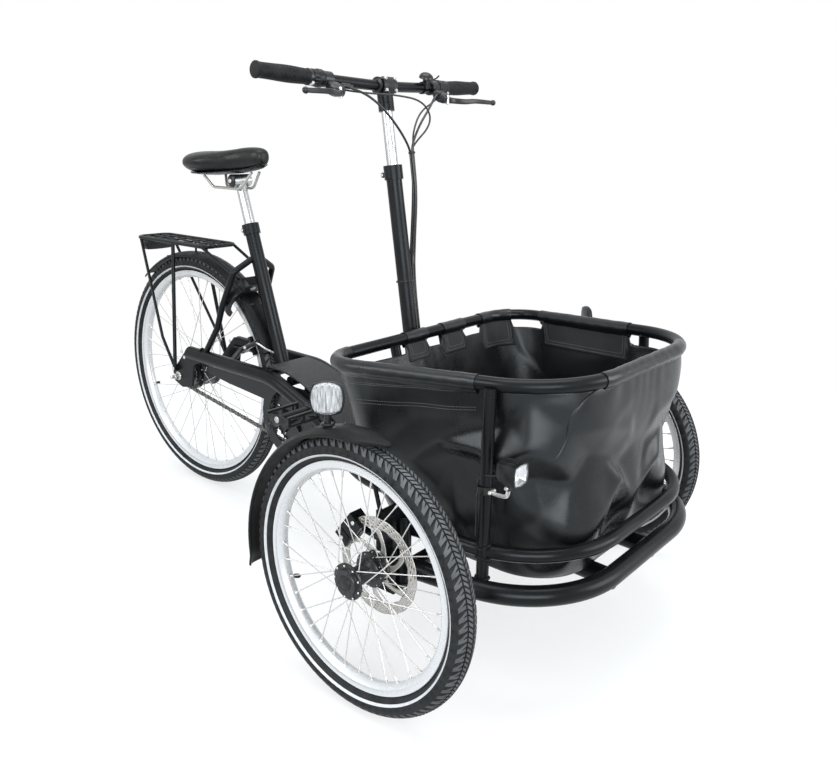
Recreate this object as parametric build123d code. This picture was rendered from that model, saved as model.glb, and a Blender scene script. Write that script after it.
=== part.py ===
from build123d import *
import math
import os

# Cargo tricycle: two steered wheels in front with a hanging tub between them,
# and one driven wheel behind.  Millimetres, +X forwards, +Y to the rider's left, +Z up.
# Sizes are set out from the ground under the rear axle.  Every piece is moved back at the
# end so that the origin is on the ground at the middle of the vehicle's length.

# ---- wheels -----------------------------------------------------------------------------
REAR_TYRE_R = 327.0
REAR_RIM_R = REAR_TYRE_R - 41.5
FRONT_TYRE_R = 250.0
FRONT_RIM_R = FRONT_TYRE_R - 41
TYRE_WIDTH = 47.0
RIM_WIDTH = 26.0
RIM_WALL = 2.0
RIM_CHANNEL = 9.0
RIM_DEPTH = 20.0
WHEELBASE = 1043.0
HALF_TRACK = 432.5
SPOKE_R = 1.0
SPOKES_PER_FLANGE = 18
FLANGE_THICK = 3.6
FRONT_FLANGE_R = 33.0
FRONT_FLANGE_OUT = 24.0
FRONT_FLANGE_IN = 30.0
REAR_FLANGE_R = 46.0
REAR_FLANGE_Y = 27.0
STUB_R = 10.0
RUN_GAP = 0.3

# ---- disc brakes ------------------------------------------------------------------------
DISC_R = 90.0
DISC_THICK = 2.0
DISC_OFFSET = 50.0
DISC_BAND = 16.0
CALIPER_ANGLE = 142.0
CALIPER_R = DISC_R - 8

# ---- frame ------------------------------------------------------------------------------
MAIN_R = 18.0
MAIN_Y = 80.0
MAIN_REAR_X = 62.0
MAIN_BENDS = (190, 260, 150)
MAIN_REAR_RISE = 2.0
MAIN_TOP_Z = REAR_TYRE_R + 75
MAIN_LOW_Z = FRONT_TYRE_R - 22
MAIN_FRONT_Z = MAIN_LOW_Z - 23
DROPOUT_THICK = 6.0
DROPOUT_Y = 73.0
DROPOUT_OUTLINE = ((-84, -15), (-86, 11), (-12, 91), (46, 91), (46, 57), (10, 45), (-2, -21), (-46, -29))
REAR_AXLE_R = 5.0
REAR_AXLE_HALF = 102.0
AXLE_NUT_HALF = 6.0
AXLE_SPACER_R = 9.0
SEAT_TUBE_R = 17.5
SEAT_POST_R = 13.6
SEAT_LEAN = 18.0
SEAT_TUBE_TOP_Z = REAR_TYRE_R + 428
SEAT_TUBE_FOOT_Z = MAIN_TOP_Z - 5
SEAT_POST_OUT = 108.0
SADDLE_CLAMP_R = 16.0
SADDLE_CLAMP_UP = 3.0
SADDLE_RAIL_R = 3.5
SADDLE_RAIL_Y = 21.0
SADDLE_SECTIONS = ((-153, 62, 23, 63), (-119, 92, 15, 71), (-59, 88, 19, 75),
                   (1, 46, 23, 81), (56, 26, 29, 87), (101, 16, 39, 81))
STAY_R = 8.0
STAY_BENDS = ((1.211, 52.7, -62), (0.8965, 48.0, -70), (0.7426, 42.2, -74))
STAY_TOP_Z = SEAT_TUBE_TOP_Z - 83
CROSS_R = 12.0
BRACKET_X = WHEELBASE * 440 / 1043
BRACKET_Z = REAR_TYRE_R - 29
BRACKET_SHELL_R = 22.0
BRACKET_SHELL_HALF = 36.0

# ---- front structure --------------------------------------------------------------------
KINGPIN_X = WHEELBASE + 17
KINGPIN_Y = HALF_TRACK - 96.5
KINGPIN_R = 8.0
HEAD_R = 15.0
KNUCKLE_PLATE = 8.0
KNUCKLE_GAP = 2.0
HEAD_LOW_Z = FRONT_TYRE_R - 44
HEAD_TOP_Z = FRONT_TYRE_R + 86
BUMPER_R = 18.0
BUMPER_FRONT_X = WHEELBASE + 321
BUMPER_Z = MAIN_LOW_Z + 6
BUMPER_CORNER_Y = KINGPIN_Y - 46
BUMPER_BEND = 200.0
BUMPER_END_Y = KINGPIN_Y - 6
UPPER_R = 13.0
UPPER_Z = MAIN_LOW_Z + 72
UPPER_FRONT_X = WHEELBASE + 312
UPPER_Y = KINGPIN_Y - 38
UPPER_BEND = 195.0
RIM_TUBE_R = 12.5
TUB_REAR_X = WHEELBASE - 223
TUB_FRONT_X = WHEELBASE + 300
TUB_REAR_Z = FRONT_TYRE_R + 318
TUB_RISE = 3.3
TUB_REAR_Y = KINGPIN_Y - 14
TUB_FRONT_Y = KINGPIN_Y - 86
TUB_REAR_BEND = 83.0
TUB_FRONT_BEND = 163.0
BAG_WALL = 4.0
BAG_DROP = 0.4
BAG_FLOOR_Z = MAIN_LOW_Z + 24
BAG_FALL = 3.6
BAG_FLOOR_REAR_X = TUB_REAR_X + 115
BAG_FLOOR_FRONT_X = TUB_FRONT_X - 33
BAG_FLOOR_REAR_Y = TUB_REAR_Y - 56
BAG_FLOOR_FRONT_Y = TUB_FRONT_Y - 22
BAG_REAR_BEND = 70.0
BAG_FRONT_BEND = 120.0
UPRIGHT_R = 11.0
UPRIGHT_X = WHEELBASE + 165
UPRIGHT_FOOT_Y = UPPER_Y - 1
REAR_UPRIGHT_X = TUB_REAR_X + 73
AXLE_TUBE_R = 14.0

# ---- steering ---------------------------------------------------------------------------
COLUMN_LEAN = 8.9
COLUMN_FOOT_X = TUB_REAR_X + 9
COLUMN_FOOT_Z = MAIN_LOW_Z + 24
COLUMN_R = 17.0
COLUMN_TOP = 670.0
COLUMN_LOW = -52.0
BEARING_TOP = 64.0
STEM_R = 12.0
STEM_TOP = 812.0
BAR_R = 11.1
GRIP_R = 16.0
GRIP_LEN = 128.0
BAR_HALF = 330.0
BAR_SWEEP = 13.0
BAR_RISE = 12.0
BAR_BEND_Y = 140.0
BAR_BEND_SWEEP = 4.0
BAR_BEND_RISE = 3.0
BAR_BEND = 300.0
BAR_STRAIGHT = 50.0
ARM_LEN = 78.0
ROD_Z = HEAD_LOW_Z - 23
ROD_R = 6.0
PIN_R = 5.0
PIN_X = COLUMN_FOOT_X - ARM_LEN + 9

# ---- drive ------------------------------------------------------------------------------
CRANK_LEN = 165.0
CRANK_ANGLE = 27.0
CRANK_Y = 120.0
CRANK_THICK = 13.0
CRANK_ARM_R = 8.0
CRANK_EYE_R = 11.0
PEDAL_LEN = 92.0
PEDAL_WIDE = 78.0
PEDAL_THICK = 24.0
CHAIN_Y = -46.0
CHAIN_WIDE = 8.0
CHAIN_DEEP = 9.0
RING_R = 76.0
SPROCKET_R = 38.0

# ---- mudguards, rack, seat --------------------------------------------------------------
GUARD_HALF = 30.0
GUARD_WALL = 2.4
GUARD_CLEAR = 15.0
GUARD_TAPER = 62.0
GUARD_TIP_HALF = 9.0
REAR_GUARD_CLEAR = 8.0
FRONT_GUARD_FROM = 74.0
FRONT_GUARD_TO = 193.0
REAR_GUARD_FROM = 19.0
REAR_GUARD_TO = 131.0
LOCK_ANGLE = 49.0
BRAKE_ANGLE = 25.0
CABLE_R = 2.5
REFLECTOR_X = WHEELBASE - 65
REFLECTOR_LIFT = 47.6
REFLECTOR_SIZE = 60.0
REFLECTOR_THICK = 10.0
LAMP_X = UPRIGHT_X + 58
LAMP_Y = -UPRIGHT_FOOT_Y - 9
LAMP_Z = UPPER_Z + 162
RACK_Z = 2 * REAR_TYRE_R + 36
RACK_REAR_X = -211.0
RACK_FRONT_X = 107.0
RACK_HALF = 50.0
RACK_ROD_R = 4.0
RACK_BEND = 24.0
RACK_WIRE_YS = (-25, 0, 25)
RACK_SLATS = 4
RACK_SLAT_PITCH = 66.0
DECK_WALL = 4.0
DECK_SEAT_GAP = 3.7
DECK_SHAPE = ((0, 0), (0.2475, 0.047), (0.5116, 0.235), (0.7756, 0.611), (1, 1))
DECK_REAR_REST = 0.24
DECK_FRONT_REST = 0.74
BATTERY_LEN = 0.33 * (COLUMN_FOOT_X - 526)
BATTERY_WIDE = 72.0
BATTERY_THICK = 56.0
BATTERY_GAP = 14.0
WELD = 0.2
SEAT = 0.3

CENTRE_X = (BUMPER_FRONT_X + BUMPER_R - REAR_TYRE_R) / 2
SEAT_GAP = REAR_TYRE_R + REAR_GUARD_CLEAR + GUARD_WALL + 0.3 + SEAT_TUBE_R
CHAIN_INNER = CHAIN_DEEP / 2 + 0.5


# ---- helpers ----------------------------------------------------------------------------
def rod(start, end, radius):
    """A round bar between two points."""
    line = Line(start, end)
    return sweep(Plane(origin=start, z_dir=line % 0) * Circle(radius), path=line)


def bent(points, radii, radius):
    """A round bar along straight runs joined by tangent arcs."""
    path = FilletPolyline(*points, radius=radii)
    return sweep(Plane(origin=path @ 0, z_dir=path % 0) * Circle(radius), path=path)


def both(solid):
    """The piece and its mirror image on the other side, as two solids."""
    return Compound([solid, mirror(solid, about=Plane.XZ)])


def largest(shape):
    """The biggest solid of a shape, once its trimmed ends have come off."""
    return shape.solids().sort_by(SortBy.VOLUME)[-1]


def other_side(solid):
    """The mirror image on the rider's left."""
    return mirror(solid, about=Plane.XZ)


def turned(profile, start=0.0, arc=360.0):
    """A profile (radius, y) turned about the wheel's own axis; angles rise from +X to +Z."""
    ring = revolve(profile, axis=Axis.Y, revolution_arc=arc)
    return Rot(0, -(start + arc), 0) * ring if arc < 360 else ring


def column_point(along, out=0.0, side=0.0):
    """A point up the steering column, with an offset forwards and to the left."""
    lean = math.radians(COLUMN_LEAN)
    x = COLUMN_FOOT_X - along * math.sin(lean) + out * math.cos(lean)
    z = COLUMN_FOOT_Z + along * math.cos(lean) + out * math.sin(lean)
    return (x, side, z)


def seat_x(z):
    """The seat tube's centre at a height: the tube just clears the rear mudguard's crown."""
    lean = math.radians(SEAT_LEAN)
    return (SEAT_GAP - (z - REAR_TYRE_R) * math.sin(lean)) / math.cos(lean)


def seat_point(z):
    """A point on the seat tube's centre line."""
    return (seat_x(z), 0, z)


def tub_z(x):
    """Height of the tub's rim tube, which rises a little towards the front."""
    return TUB_REAR_Z + (x - TUB_REAR_X) * math.tan(math.radians(TUB_RISE))


# ---- wheels -----------------------------------------------------------------------------
def tyre(outer, rim):
    """A tyre whose beads stand in the rim's channel."""
    half = TYRE_WIDTH / 2
    bead = RIM_WIDTH / 2 - RIM_WALL - 0.2
    low = rim - RIM_CHANNEL + 0.2
    mid = (outer + rim) / 2
    edge = Polyline((low, bead), (rim + 0.4, bead))
    wall = ThreePointArc((rim + 0.4, bead), (mid - 3, half), (outer - 9, half - 4))
    crown = ThreePointArc((outer - 9, half - 4), (outer, 0), (outer - 9, 4 - half))
    side = [edge, wall]
    lines = side + [crown] + [mirror(line, about=Plane.XZ) for line in side]
    lines.append(Line((low, bead), (low, -bead)))
    return turned(make_face(Curve() + lines))


def rim(radius):
    """A box rim with a channel for the tyre."""
    half = RIM_WIDTH / 2
    floor = radius - RIM_CHANNEL
    inner = radius - RIM_DEPTH
    outline = [(radius, half - RIM_WALL), (floor, half - RIM_WALL), (floor, RIM_WALL - half),
               (radius, RIM_WALL - half), (radius, -half), (floor - 2, -half),
               (inner, 6 - half), (inner, half - 6), (floor - 2, half), (radius, half)]
    return turned(make_face(Polyline(*outline, close=True)))


def spokes(rim_radius, flange_r, flange_low, flange_high, crossing):
    """Spokes laced tangentially from both flanges, the pairs crossing without touching."""
    hole_r = flange_r - 4
    start_r = flange_r + 1.6
    end_r = rim_radius - RIM_DEPTH - 0.4
    step = 360.0 / SPOKES_PER_FLANGE
    laced = []
    for flange_y, turn in ((flange_low, 0.0), (flange_high, step / 2)):
        for k in range(SPOKES_PER_FLANGE):
            lead = 1 if k % 2 == 0 else -1
            hub_at = math.radians(turn + k * step)
            rim_at = hub_at + lead * math.radians(crossing * step)
            hole = Vector(hole_r * math.cos(hub_at), flange_y + lead * 1.7, hole_r * math.sin(hub_at))
            tip = Vector(end_r * math.cos(rim_at), lead * 0.9 + math.copysign(1.5, flange_y),
                         end_r * math.sin(rim_at))
            laced.append(rod(outside(hole, tip, start_r), tip, SPOKE_R))
    return Compound(laced)


def outside(hole, tip, radius):
    """Where the line from a hub hole to the rim comes out past a radius about the axle."""
    way = tip - hole
    a = way.X ** 2 + way.Z ** 2
    b = hole.X * way.X + hole.Z * way.Z
    c = hole.X ** 2 + hole.Z ** 2 - radius ** 2
    return hole + way * ((math.sqrt(b * b - a * c) - b) / a)


def front_hub():
    """The right front hub: two flanges, an outer cap and a seat for the disc."""
    out = -FRONT_FLANGE_OUT
    inn = FRONT_FLANGE_IN
    seat = DISC_OFFSET - DISC_THICK / 2
    t = FLANGE_THICK / 2
    outline = [(0, out - 11), (17, out - 11), (21, out - 8), (22, out - t),
               (FRONT_FLANGE_R, out - t), (FRONT_FLANGE_R, out + t), (21, out + t + 6),
               (18, 0), (21, inn - t - 6), (FRONT_FLANGE_R, inn - t), (FRONT_FLANGE_R, inn + t),
               (25, inn + t + 3), (25, seat), (STUB_R + RUN_GAP, seat),
               (STUB_R + RUN_GAP, out), (0, out)]
    return turned(make_face(Polyline(*outline, close=True)))


def disc():
    """The slotted brake disc: a braking band on curved arms from a centre ring."""
    plate = Cylinder(DISC_R, DISC_THICK, rotation=(90, 0, 0))
    plate -= Cylinder(STUB_R + 6, 3 * DISC_THICK, rotation=(90, 0, 0))
    window = DISC_R - DISC_BAND
    gap_face = make_face(Polyline((34, -11), (window - 4, -17), (window - 2, 9), (40, 6), close=True))
    gap_face = fillet(gap_face.vertices(), 4)
    gap = extrude(Plane.XZ * gap_face, amount=DISC_THICK * 2, both=True)
    for k in range(6):
        plate -= Rot(0, 60 * k, 0) * gap
    return Pos(0, DISC_OFFSET, 0) * plate


def rear_hub():
    """The geared hub with its drum, two flanges and the sprocket's seat on the right."""
    y = REAR_FLANGE_Y
    t = FLANGE_THICK / 2
    bore = REAR_AXLE_R + RUN_GAP
    outline = [(bore, y + 22), (24, y + 22), (30, y + 8), (38, y + t), (REAR_FLANGE_R, y + t),
               (REAR_FLANGE_R, y - t), (41, y - t - 3), (41, t + 3 - y), (REAR_FLANGE_R, t - y),
               (REAR_FLANGE_R, -y - t), (34, -y - t), (24, -y - 9), (24, CHAIN_Y + 2),
               (SPROCKET_R - CHAIN_INNER, CHAIN_Y + 1.2), (SPROCKET_R - CHAIN_INNER, CHAIN_Y - 1.2),
               (18, CHAIN_Y - 2), (18, CHAIN_Y - 12), (bore, CHAIN_Y - 12)]
    return turned(make_face(Polyline(*outline, close=True)))


# ---- frame ------------------------------------------------------------------------------
def main_high_points():
    """The two ends of the right frame tube's upper run."""
    return [(MAIN_REAR_X, -MAIN_Y, MAIN_TOP_Z + MAIN_REAR_RISE),
            (COLUMN_FOOT_X - 429, -MAIN_Y, MAIN_TOP_Z - MAIN_REAR_RISE)]


def main_high_run(radius):
    """The right frame tube's upper run as a straight bar of a given radius, a little longer at the rear."""
    start, end = Vector(*main_high_points()[0]), Vector(*main_high_points()[1])
    return rod(start - (end - start).normalized() * 9, end, radius)


def main_low_points():
    """Corners of the right frame tube's path down to its low run, which falls a little to the front."""
    span = MAIN_TOP_Z - MAIN_LOW_Z
    return [(COLUMN_FOOT_X - 269, -MAIN_Y, MAIN_LOW_Z + 0.632 * span), (COLUMN_FOOT_X - 129, -MAIN_Y, MAIN_LOW_Z),
            (BUMPER_FRONT_X - 12, -MAIN_Y, MAIN_FRONT_Z)]


def main_low_run(radius, side=-1):
    """The low run of a frame tube as a straight bar of a given radius."""
    _, start, end = main_low_points()
    return rod((start[0], side * MAIN_Y, start[2]), (end[0], side * MAIN_Y, end[2]), radius)


def main_tube():
    """The right frame tube, from the rear dropout down under the tub to the front bumper."""
    tube = bent(main_high_points() + main_low_points(), MAIN_BENDS, MAIN_R)
    tube -= rod((BUMPER_FRONT_X, -2 * MAIN_Y, BUMPER_Z), (BUMPER_FRONT_X, 0, BUMPER_Z), BUMPER_R + WELD)
    tube = largest(tube)
    outline = [(MAIN_REAR_X + x, REAR_TYRE_R + z) for x, z in DROPOUT_OUTLINE]
    plate = fillet(make_face(Polyline(*outline, close=True)).vertices(), 7)
    plate = Pos(0, -DROPOUT_Y, 0) * extrude(Plane.XZ * plate, amount=DROPOUT_THICK)
    plate -= Pos(0, -DROPOUT_Y, REAR_TYRE_R) * Cylinder(REAR_AXLE_R + 0.2, 60, rotation=(90, 0, 0))
    return tube + plate


def main_run_z(x):
    """Height of the frame tubes' centre lines along their low run."""
    _, start, end = main_low_points()
    return start[2] + (x - start[0]) * (end[2] - start[2]) / (end[0] - start[0])


def cross_tube(x, z, radius):
    """A tube between the two frame tubes, its ends shaped to them."""
    bar = rod((x, -MAIN_Y, z), (x, MAIN_Y, z), radius)
    half = MAIN_Y - MAIN_R - WELD
    return bar & Pos(x, 0, z) * Box(200, 2 * half, 200)


def deck_curve():
    """The step plate's upper line, seen from the side."""
    start_z = MAIN_TOP_Z + 19
    start_x = seat_x(start_z) + SEAT_TUBE_R / math.cos(math.radians(SEAT_LEAN)) + DECK_SEAT_GAP
    end_x, end_z = COLUMN_FOOT_X - 161, MAIN_LOW_Z + 44
    return Spline(*[(start_x + along * (end_x - start_x), start_z + down * (end_z - start_z))
                    for along, down in DECK_SHAPE])


def deck_rest(part_way):
    """Centre of a cross tube that carries the step plate from below."""
    curve = deck_curve()
    point = curve @ part_way
    way = curve % part_way
    drop = DECK_WALL + CROSS_R + 0.3
    return point.X + way.Y * drop, point.Y - way.X * drop


def frame_links():
    """Bottom bracket shell, the cross tubes and the column's lower bearing housing."""
    deck_x, deck_z = deck_rest(DECK_REAR_REST)
    shell = Pos(BRACKET_X, 0, BRACKET_Z) * Cylinder(BRACKET_SHELL_R, 2 * BRACKET_SHELL_HALF, rotation=(90, 0, 0))
    post = rod((BRACKET_X, 0, BRACKET_Z), (deck_x, 0, deck_z), 11)
    bore = Pos(BRACKET_X, 0, BRACKET_Z) * Cylinder(9, 300, rotation=(90, 0, 0))
    bracket = shell + post + cross_tube(deck_x, deck_z, CROSS_R) - bore
    foot = cross_tube(seat_x(SEAT_TUBE_FOOT_Z), SEAT_TUBE_FOOT_Z, CROSS_R)
    deck_x, deck_z = deck_rest(DECK_FRONT_REST)
    front = cross_tube(COLUMN_FOOT_X, main_run_z(COLUMN_FOOT_X), CROSS_R)
    front -= rod(column_point(-60), column_point(90), COLUMN_R + 6)
    front += rod(column_point(-18), column_point(BEARING_TOP), COLUMN_R + 7)
    front -= rod(column_point(-30), column_point(90), COLUMN_R + RUN_GAP)
    return Compound([bracket, foot, cross_tube(deck_x, deck_z, CROSS_R), front])


def seat_tube():
    """The leaning seat tube with its clamp collar, bored for the post."""
    tube = rod(seat_point(SEAT_TUBE_FOOT_Z), seat_point(SEAT_TUBE_TOP_Z), SEAT_TUBE_R)
    tube += rod(seat_point(SEAT_TUBE_TOP_Z - 22), seat_point(SEAT_TUBE_TOP_Z + 3), SEAT_TUBE_R + 4)
    tube -= rod(seat_point(SEAT_TUBE_TOP_Z - 200), seat_point(SEAT_TUBE_TOP_Z + 10), SEAT_POST_R + 0.1)
    foot_x = seat_x(SEAT_TUBE_FOOT_Z)
    tube -= rod((foot_x, -40, SEAT_TUBE_FOOT_Z), (foot_x, 40, SEAT_TUBE_FOOT_Z), CROSS_R + WELD)
    return largest(tube)


def seat_post():
    """The silver post with the saddle clamp on top."""
    top = SEAT_TUBE_TOP_Z + SEAT_POST_OUT
    post = rod(seat_point(SEAT_TUBE_TOP_Z - 185), seat_point(top), SEAT_POST_R)
    clamp = Cylinder(SADDLE_CLAMP_R, 2 * SADDLE_RAIL_Y + 10, rotation=(90, 0, 0))
    return post + Pos(seat_x(top), 0, top + SADDLE_CLAMP_UP) * clamp


def saddle():
    """The saddle's padded shell, wide behind and narrow at the nose."""
    sections = []
    top = SEAT_TUBE_TOP_Z + SEAT_POST_OUT
    middle = seat_x(top)
    for x, half, low, high in SADDLE_SECTIONS:
        outline = Rectangle(2 * half, high - low)
        outline = fillet(outline.vertices(), 0.45 * min(2 * half, high - low))
        at = (middle + x, 0, top + (low + high) / 2)
        sections.append(Plane(origin=at, x_dir=(0, 1, 0), z_dir=(1, 0, 0)) * outline)
    return loft(sections)


def saddle_rails():
    """The two rails under the saddle, held in the clamp."""
    top = SEAT_TUBE_TOP_Z + SEAT_POST_OUT
    rail_z = top + SADDLE_CLAMP_UP - SADDLE_CLAMP_R - SADDLE_RAIL_R - WELD
    middle = seat_x(top)
    points = [(middle - 103, -34, top + 13), (middle - 83, -SADDLE_RAIL_Y, rail_z),
              (middle + 26, -SADDLE_RAIL_Y, rail_z),
              (middle + 63, -12, top + 26)]
    return both(bent(points, [14, 30], SADDLE_RAIL_R))


def seat_stays():
    """Two bent stays from behind the seat tube, round the wheel and down to the frame tubes."""
    points = [(seat_x(STAY_TOP_Z) - 8, -14, STAY_TOP_Z)]
    points += [wheel_polar(share * REAR_TYRE_R, degrees, y) for share, degrees, y in STAY_BENDS]
    points += [(MAIN_REAR_X + 60, -MAIN_Y, MAIN_TOP_Z)]
    stay = bent(points, [18, 60, 60], STAY_R)
    stay -= rod(seat_point(MAIN_TOP_Z + 98), seat_point(SEAT_TUBE_TOP_Z), SEAT_TUBE_R + WELD)
    stay -= main_high_run(MAIN_R + WELD)
    stay -= Pos(MAIN_REAR_X, -DROPOUT_Y, MAIN_TOP_Z) * Box(120, 30, 34)
    return both(largest(stay))


def deck_cover():
    """The curved step plate between the frame tubes, in front of the seat tube."""
    half = MAIN_Y - MAIN_R - 0.4
    top = deck_curve()
    low = Spline(*[(top @ t) + Vector((top % t).Y, -(top % t).X) * DECK_WALL for t in (0, 0.25, 0.5, 0.75, 1)])
    face = make_face(Curve() + [top, Line(top @ 1, low @ 1), low, Line(low @ 0, top @ 0)])
    return Pos(0, half, 0) * extrude(Plane.XZ * face, amount=2 * half)


def battery_block():
    """The battery as one plain block under the step plate, against the front one of its cross tubes."""
    curve = deck_curve()
    middle = (DECK_REAR_REST + DECK_FRONT_REST) / 2
    point = curve @ middle
    way = curve % middle
    tube = Vector(*deck_rest(DECK_FRONT_REST)) - point
    along = tube.X * way.X + tube.Y * way.Y - CROSS_R - SEAT - BATTERY_LEN / 2
    drop = DECK_WALL + BATTERY_GAP + BATTERY_THICK / 2
    turn = math.degrees(math.atan2(-way.Y, way.X))
    block = Box(BATTERY_LEN, BATTERY_WIDE, BATTERY_THICK)
    return Pos(point.X + way.X * along + way.Y * drop, 0, point.Y + way.Y * along - way.X * drop) * Rot(
        0, turn, 0) * block


def rear_axle():
    """The rear axle with its spacers and nuts."""
    axle = rod((0, -REAR_AXLE_HALF, REAR_TYRE_R), (0, REAR_AXLE_HALF, REAR_TYRE_R), REAR_AXLE_R)
    inner = REAR_FLANGE_Y + 22 + RUN_GAP
    right = rod((0, CHAIN_Y - 12 - RUN_GAP, REAR_TYRE_R), (0, 0.2 - DROPOUT_Y, REAR_TYRE_R), AXLE_SPACER_R)
    left = rod((0, inner, REAR_TYRE_R), (0, DROPOUT_Y - 0.2, REAR_TYRE_R), AXLE_SPACER_R)
    nut_y = DROPOUT_Y + DROPOUT_THICK + 0.2
    nut = extrude(RegularPolygon(9, 6), amount=AXLE_NUT_HALF, both=True)
    nut = Pos(0, -nut_y - AXLE_NUT_HALF, REAR_TYRE_R) * Rot(90, 0, 0) * nut
    return axle + right + left + nut + other_side(nut)


# ---- front structure --------------------------------------------------------------------
def lower_loop(radius):
    """The low bumper's bent tube at a given radius."""
    start_x = KINGPIN_X + 10
    points = [(start_x, -BUMPER_END_Y, BUMPER_Z), (BUMPER_FRONT_X, -BUMPER_CORNER_Y, BUMPER_Z),
              (BUMPER_FRONT_X, BUMPER_CORNER_Y, BUMPER_Z), (start_x, BUMPER_END_Y, BUMPER_Z)]
    return bent(points, [BUMPER_BEND, BUMPER_BEND], radius)


def upper_loop(radius):
    """The upper bumper's bent tube at a given radius."""
    end_y = KINGPIN_Y - 24
    points = [(KINGPIN_X + 6, -end_y, UPPER_Z), (KINGPIN_X + 66, -UPPER_Y, UPPER_Z),
              (UPPER_FRONT_X, -UPPER_Y, UPPER_Z), (UPPER_FRONT_X, UPPER_Y, UPPER_Z),
              (KINGPIN_X + 66, UPPER_Y, UPPER_Z), (KINGPIN_X + 6, end_y, UPPER_Z)]
    return bent(points, [60, UPPER_BEND, UPPER_BEND, 60], radius)


def lower_bumper():
    """The low bumper, the axle tube across the frame and the kingpin housings, welded into one."""
    loop = lower_loop(BUMPER_R)
    axle = rod((KINGPIN_X, -KINGPIN_Y, MAIN_LOW_Z), (KINGPIN_X, KINGPIN_Y, MAIN_LOW_Z), AXLE_TUBE_R)
    for side in (-1, 1):
        axle -= main_low_run(MAIN_R + WELD, side)
    whole = loop + axle
    for side in (-1, 1):
        y = side * KINGPIN_Y
        whole += rod((KINGPIN_X, y, HEAD_LOW_Z), (KINGPIN_X, y, HEAD_TOP_Z), HEAD_R)
        whole -= rod((KINGPIN_X, y, HEAD_LOW_Z - 5), (KINGPIN_X, y, HEAD_TOP_Z + 5), KINGPIN_R + 0.1)
    return whole


def upper_bumper():
    """The slimmer upper bumper, from one kingpin housing round the tub to the other."""
    loop = upper_loop(UPPER_R)
    for side in (-1, 1):
        y = side * KINGPIN_Y
        loop -= rod((KINGPIN_X, y, HEAD_LOW_Z), (KINGPIN_X, y, HEAD_TOP_Z), HEAD_R + WELD)
    return loop


def tub_rim():
    """The tube that the tub hangs from."""
    rise = math.tan(math.radians(TUB_RISE))
    plane = Plane(origin=(TUB_REAR_X, 0, TUB_REAR_Z), x_dir=(1, 0, rise), z_dir=(-rise, 0, 1))
    scale = math.hypot(1, rise)
    length = (TUB_FRONT_X - TUB_REAR_X) * scale
    flat = make_face(Polyline((0, -TUB_REAR_Y), (length, -TUB_FRONT_Y), (length, TUB_FRONT_Y),
                              (0, TUB_REAR_Y), close=True))
    rear = flat.vertices().sort_by(Axis.X)[:2]
    flat = fillet(rear, TUB_REAR_BEND)
    front = [v for v in flat.vertices() if v.X > length - 1]
    flat = fillet(front, TUB_FRONT_BEND)
    wire = (plane * flat).wire()
    start = wire @ 0
    return sweep(Plane(origin=start, z_dir=wire % 0) * Circle(RIM_TUBE_R), path=wire)


def trapezium(z, rear_x, front_x, rear_y, front_y, rear_bend, front_bend, tilt=0.0):
    """A level or tilted rounded trapezium face, for the tub's sections."""
    flat = make_face(Polyline((rear_x, -rear_y), (front_x, -front_y), (front_x, front_y),
                              (rear_x, rear_y), close=True))
    rear = [v for v in flat.vertices() if v.X < rear_x + 1]
    flat = fillet(rear, rear_bend)
    front = [v for v in flat.vertices() if v.X > front_x - 1]
    flat = fillet(front, front_bend)
    return Pos(rear_x, 0, z) * Rot(0, -tilt, 0) * Pos(-rear_x, 0, 0) * flat


def tub_solid(inset, low_z):
    """The tub's tapering body between its rim and its floor, pulled in by a given amount."""
    top = trapezium(TUB_REAR_Z - RIM_TUBE_R - BAG_DROP + (0.5 if inset else 0), TUB_REAR_X + inset,
                    TUB_FRONT_X - inset, TUB_REAR_Y - inset, TUB_FRONT_Y - inset,
                    TUB_REAR_BEND - inset, TUB_FRONT_BEND - inset, TUB_RISE)
    floor = trapezium(low_z, BAG_FLOOR_REAR_X + inset, BAG_FLOOR_FRONT_X - inset,
                      BAG_FLOOR_REAR_Y - inset, BAG_FLOOR_FRONT_Y - inset,
                      BAG_REAR_BEND - inset, BAG_FRONT_BEND - inset, -BAG_FALL)
    return loft([floor, top], ruled=True)


def tub_bag():
    """The hanging tarpaulin tub, open at the top."""
    return tub_solid(0, BAG_FLOOR_Z) - tub_solid(BAG_WALL, BAG_FLOOR_Z + BAG_WALL)


def rim_side_y(x):
    """Half width of the rim's centre line along its straight sides."""
    part_way = (x - TUB_REAR_X) / (TUB_FRONT_X - TUB_REAR_X)
    return TUB_REAR_Y + (TUB_FRONT_Y - TUB_REAR_Y) * part_way


def upright_point(z):
    """A point on the right front upright, which leans in from the upper bumper to the rim."""
    part_way = (z - UPPER_Z) / (tub_z(UPRIGHT_X) - UPPER_Z)
    top_y = -rim_side_y(UPRIGHT_X) - UPRIGHT_R - 2.5
    return (UPRIGHT_X - 6 * part_way, -UPRIGHT_FOOT_Y + (top_y + UPRIGHT_FOOT_Y) * part_way, z)


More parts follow.
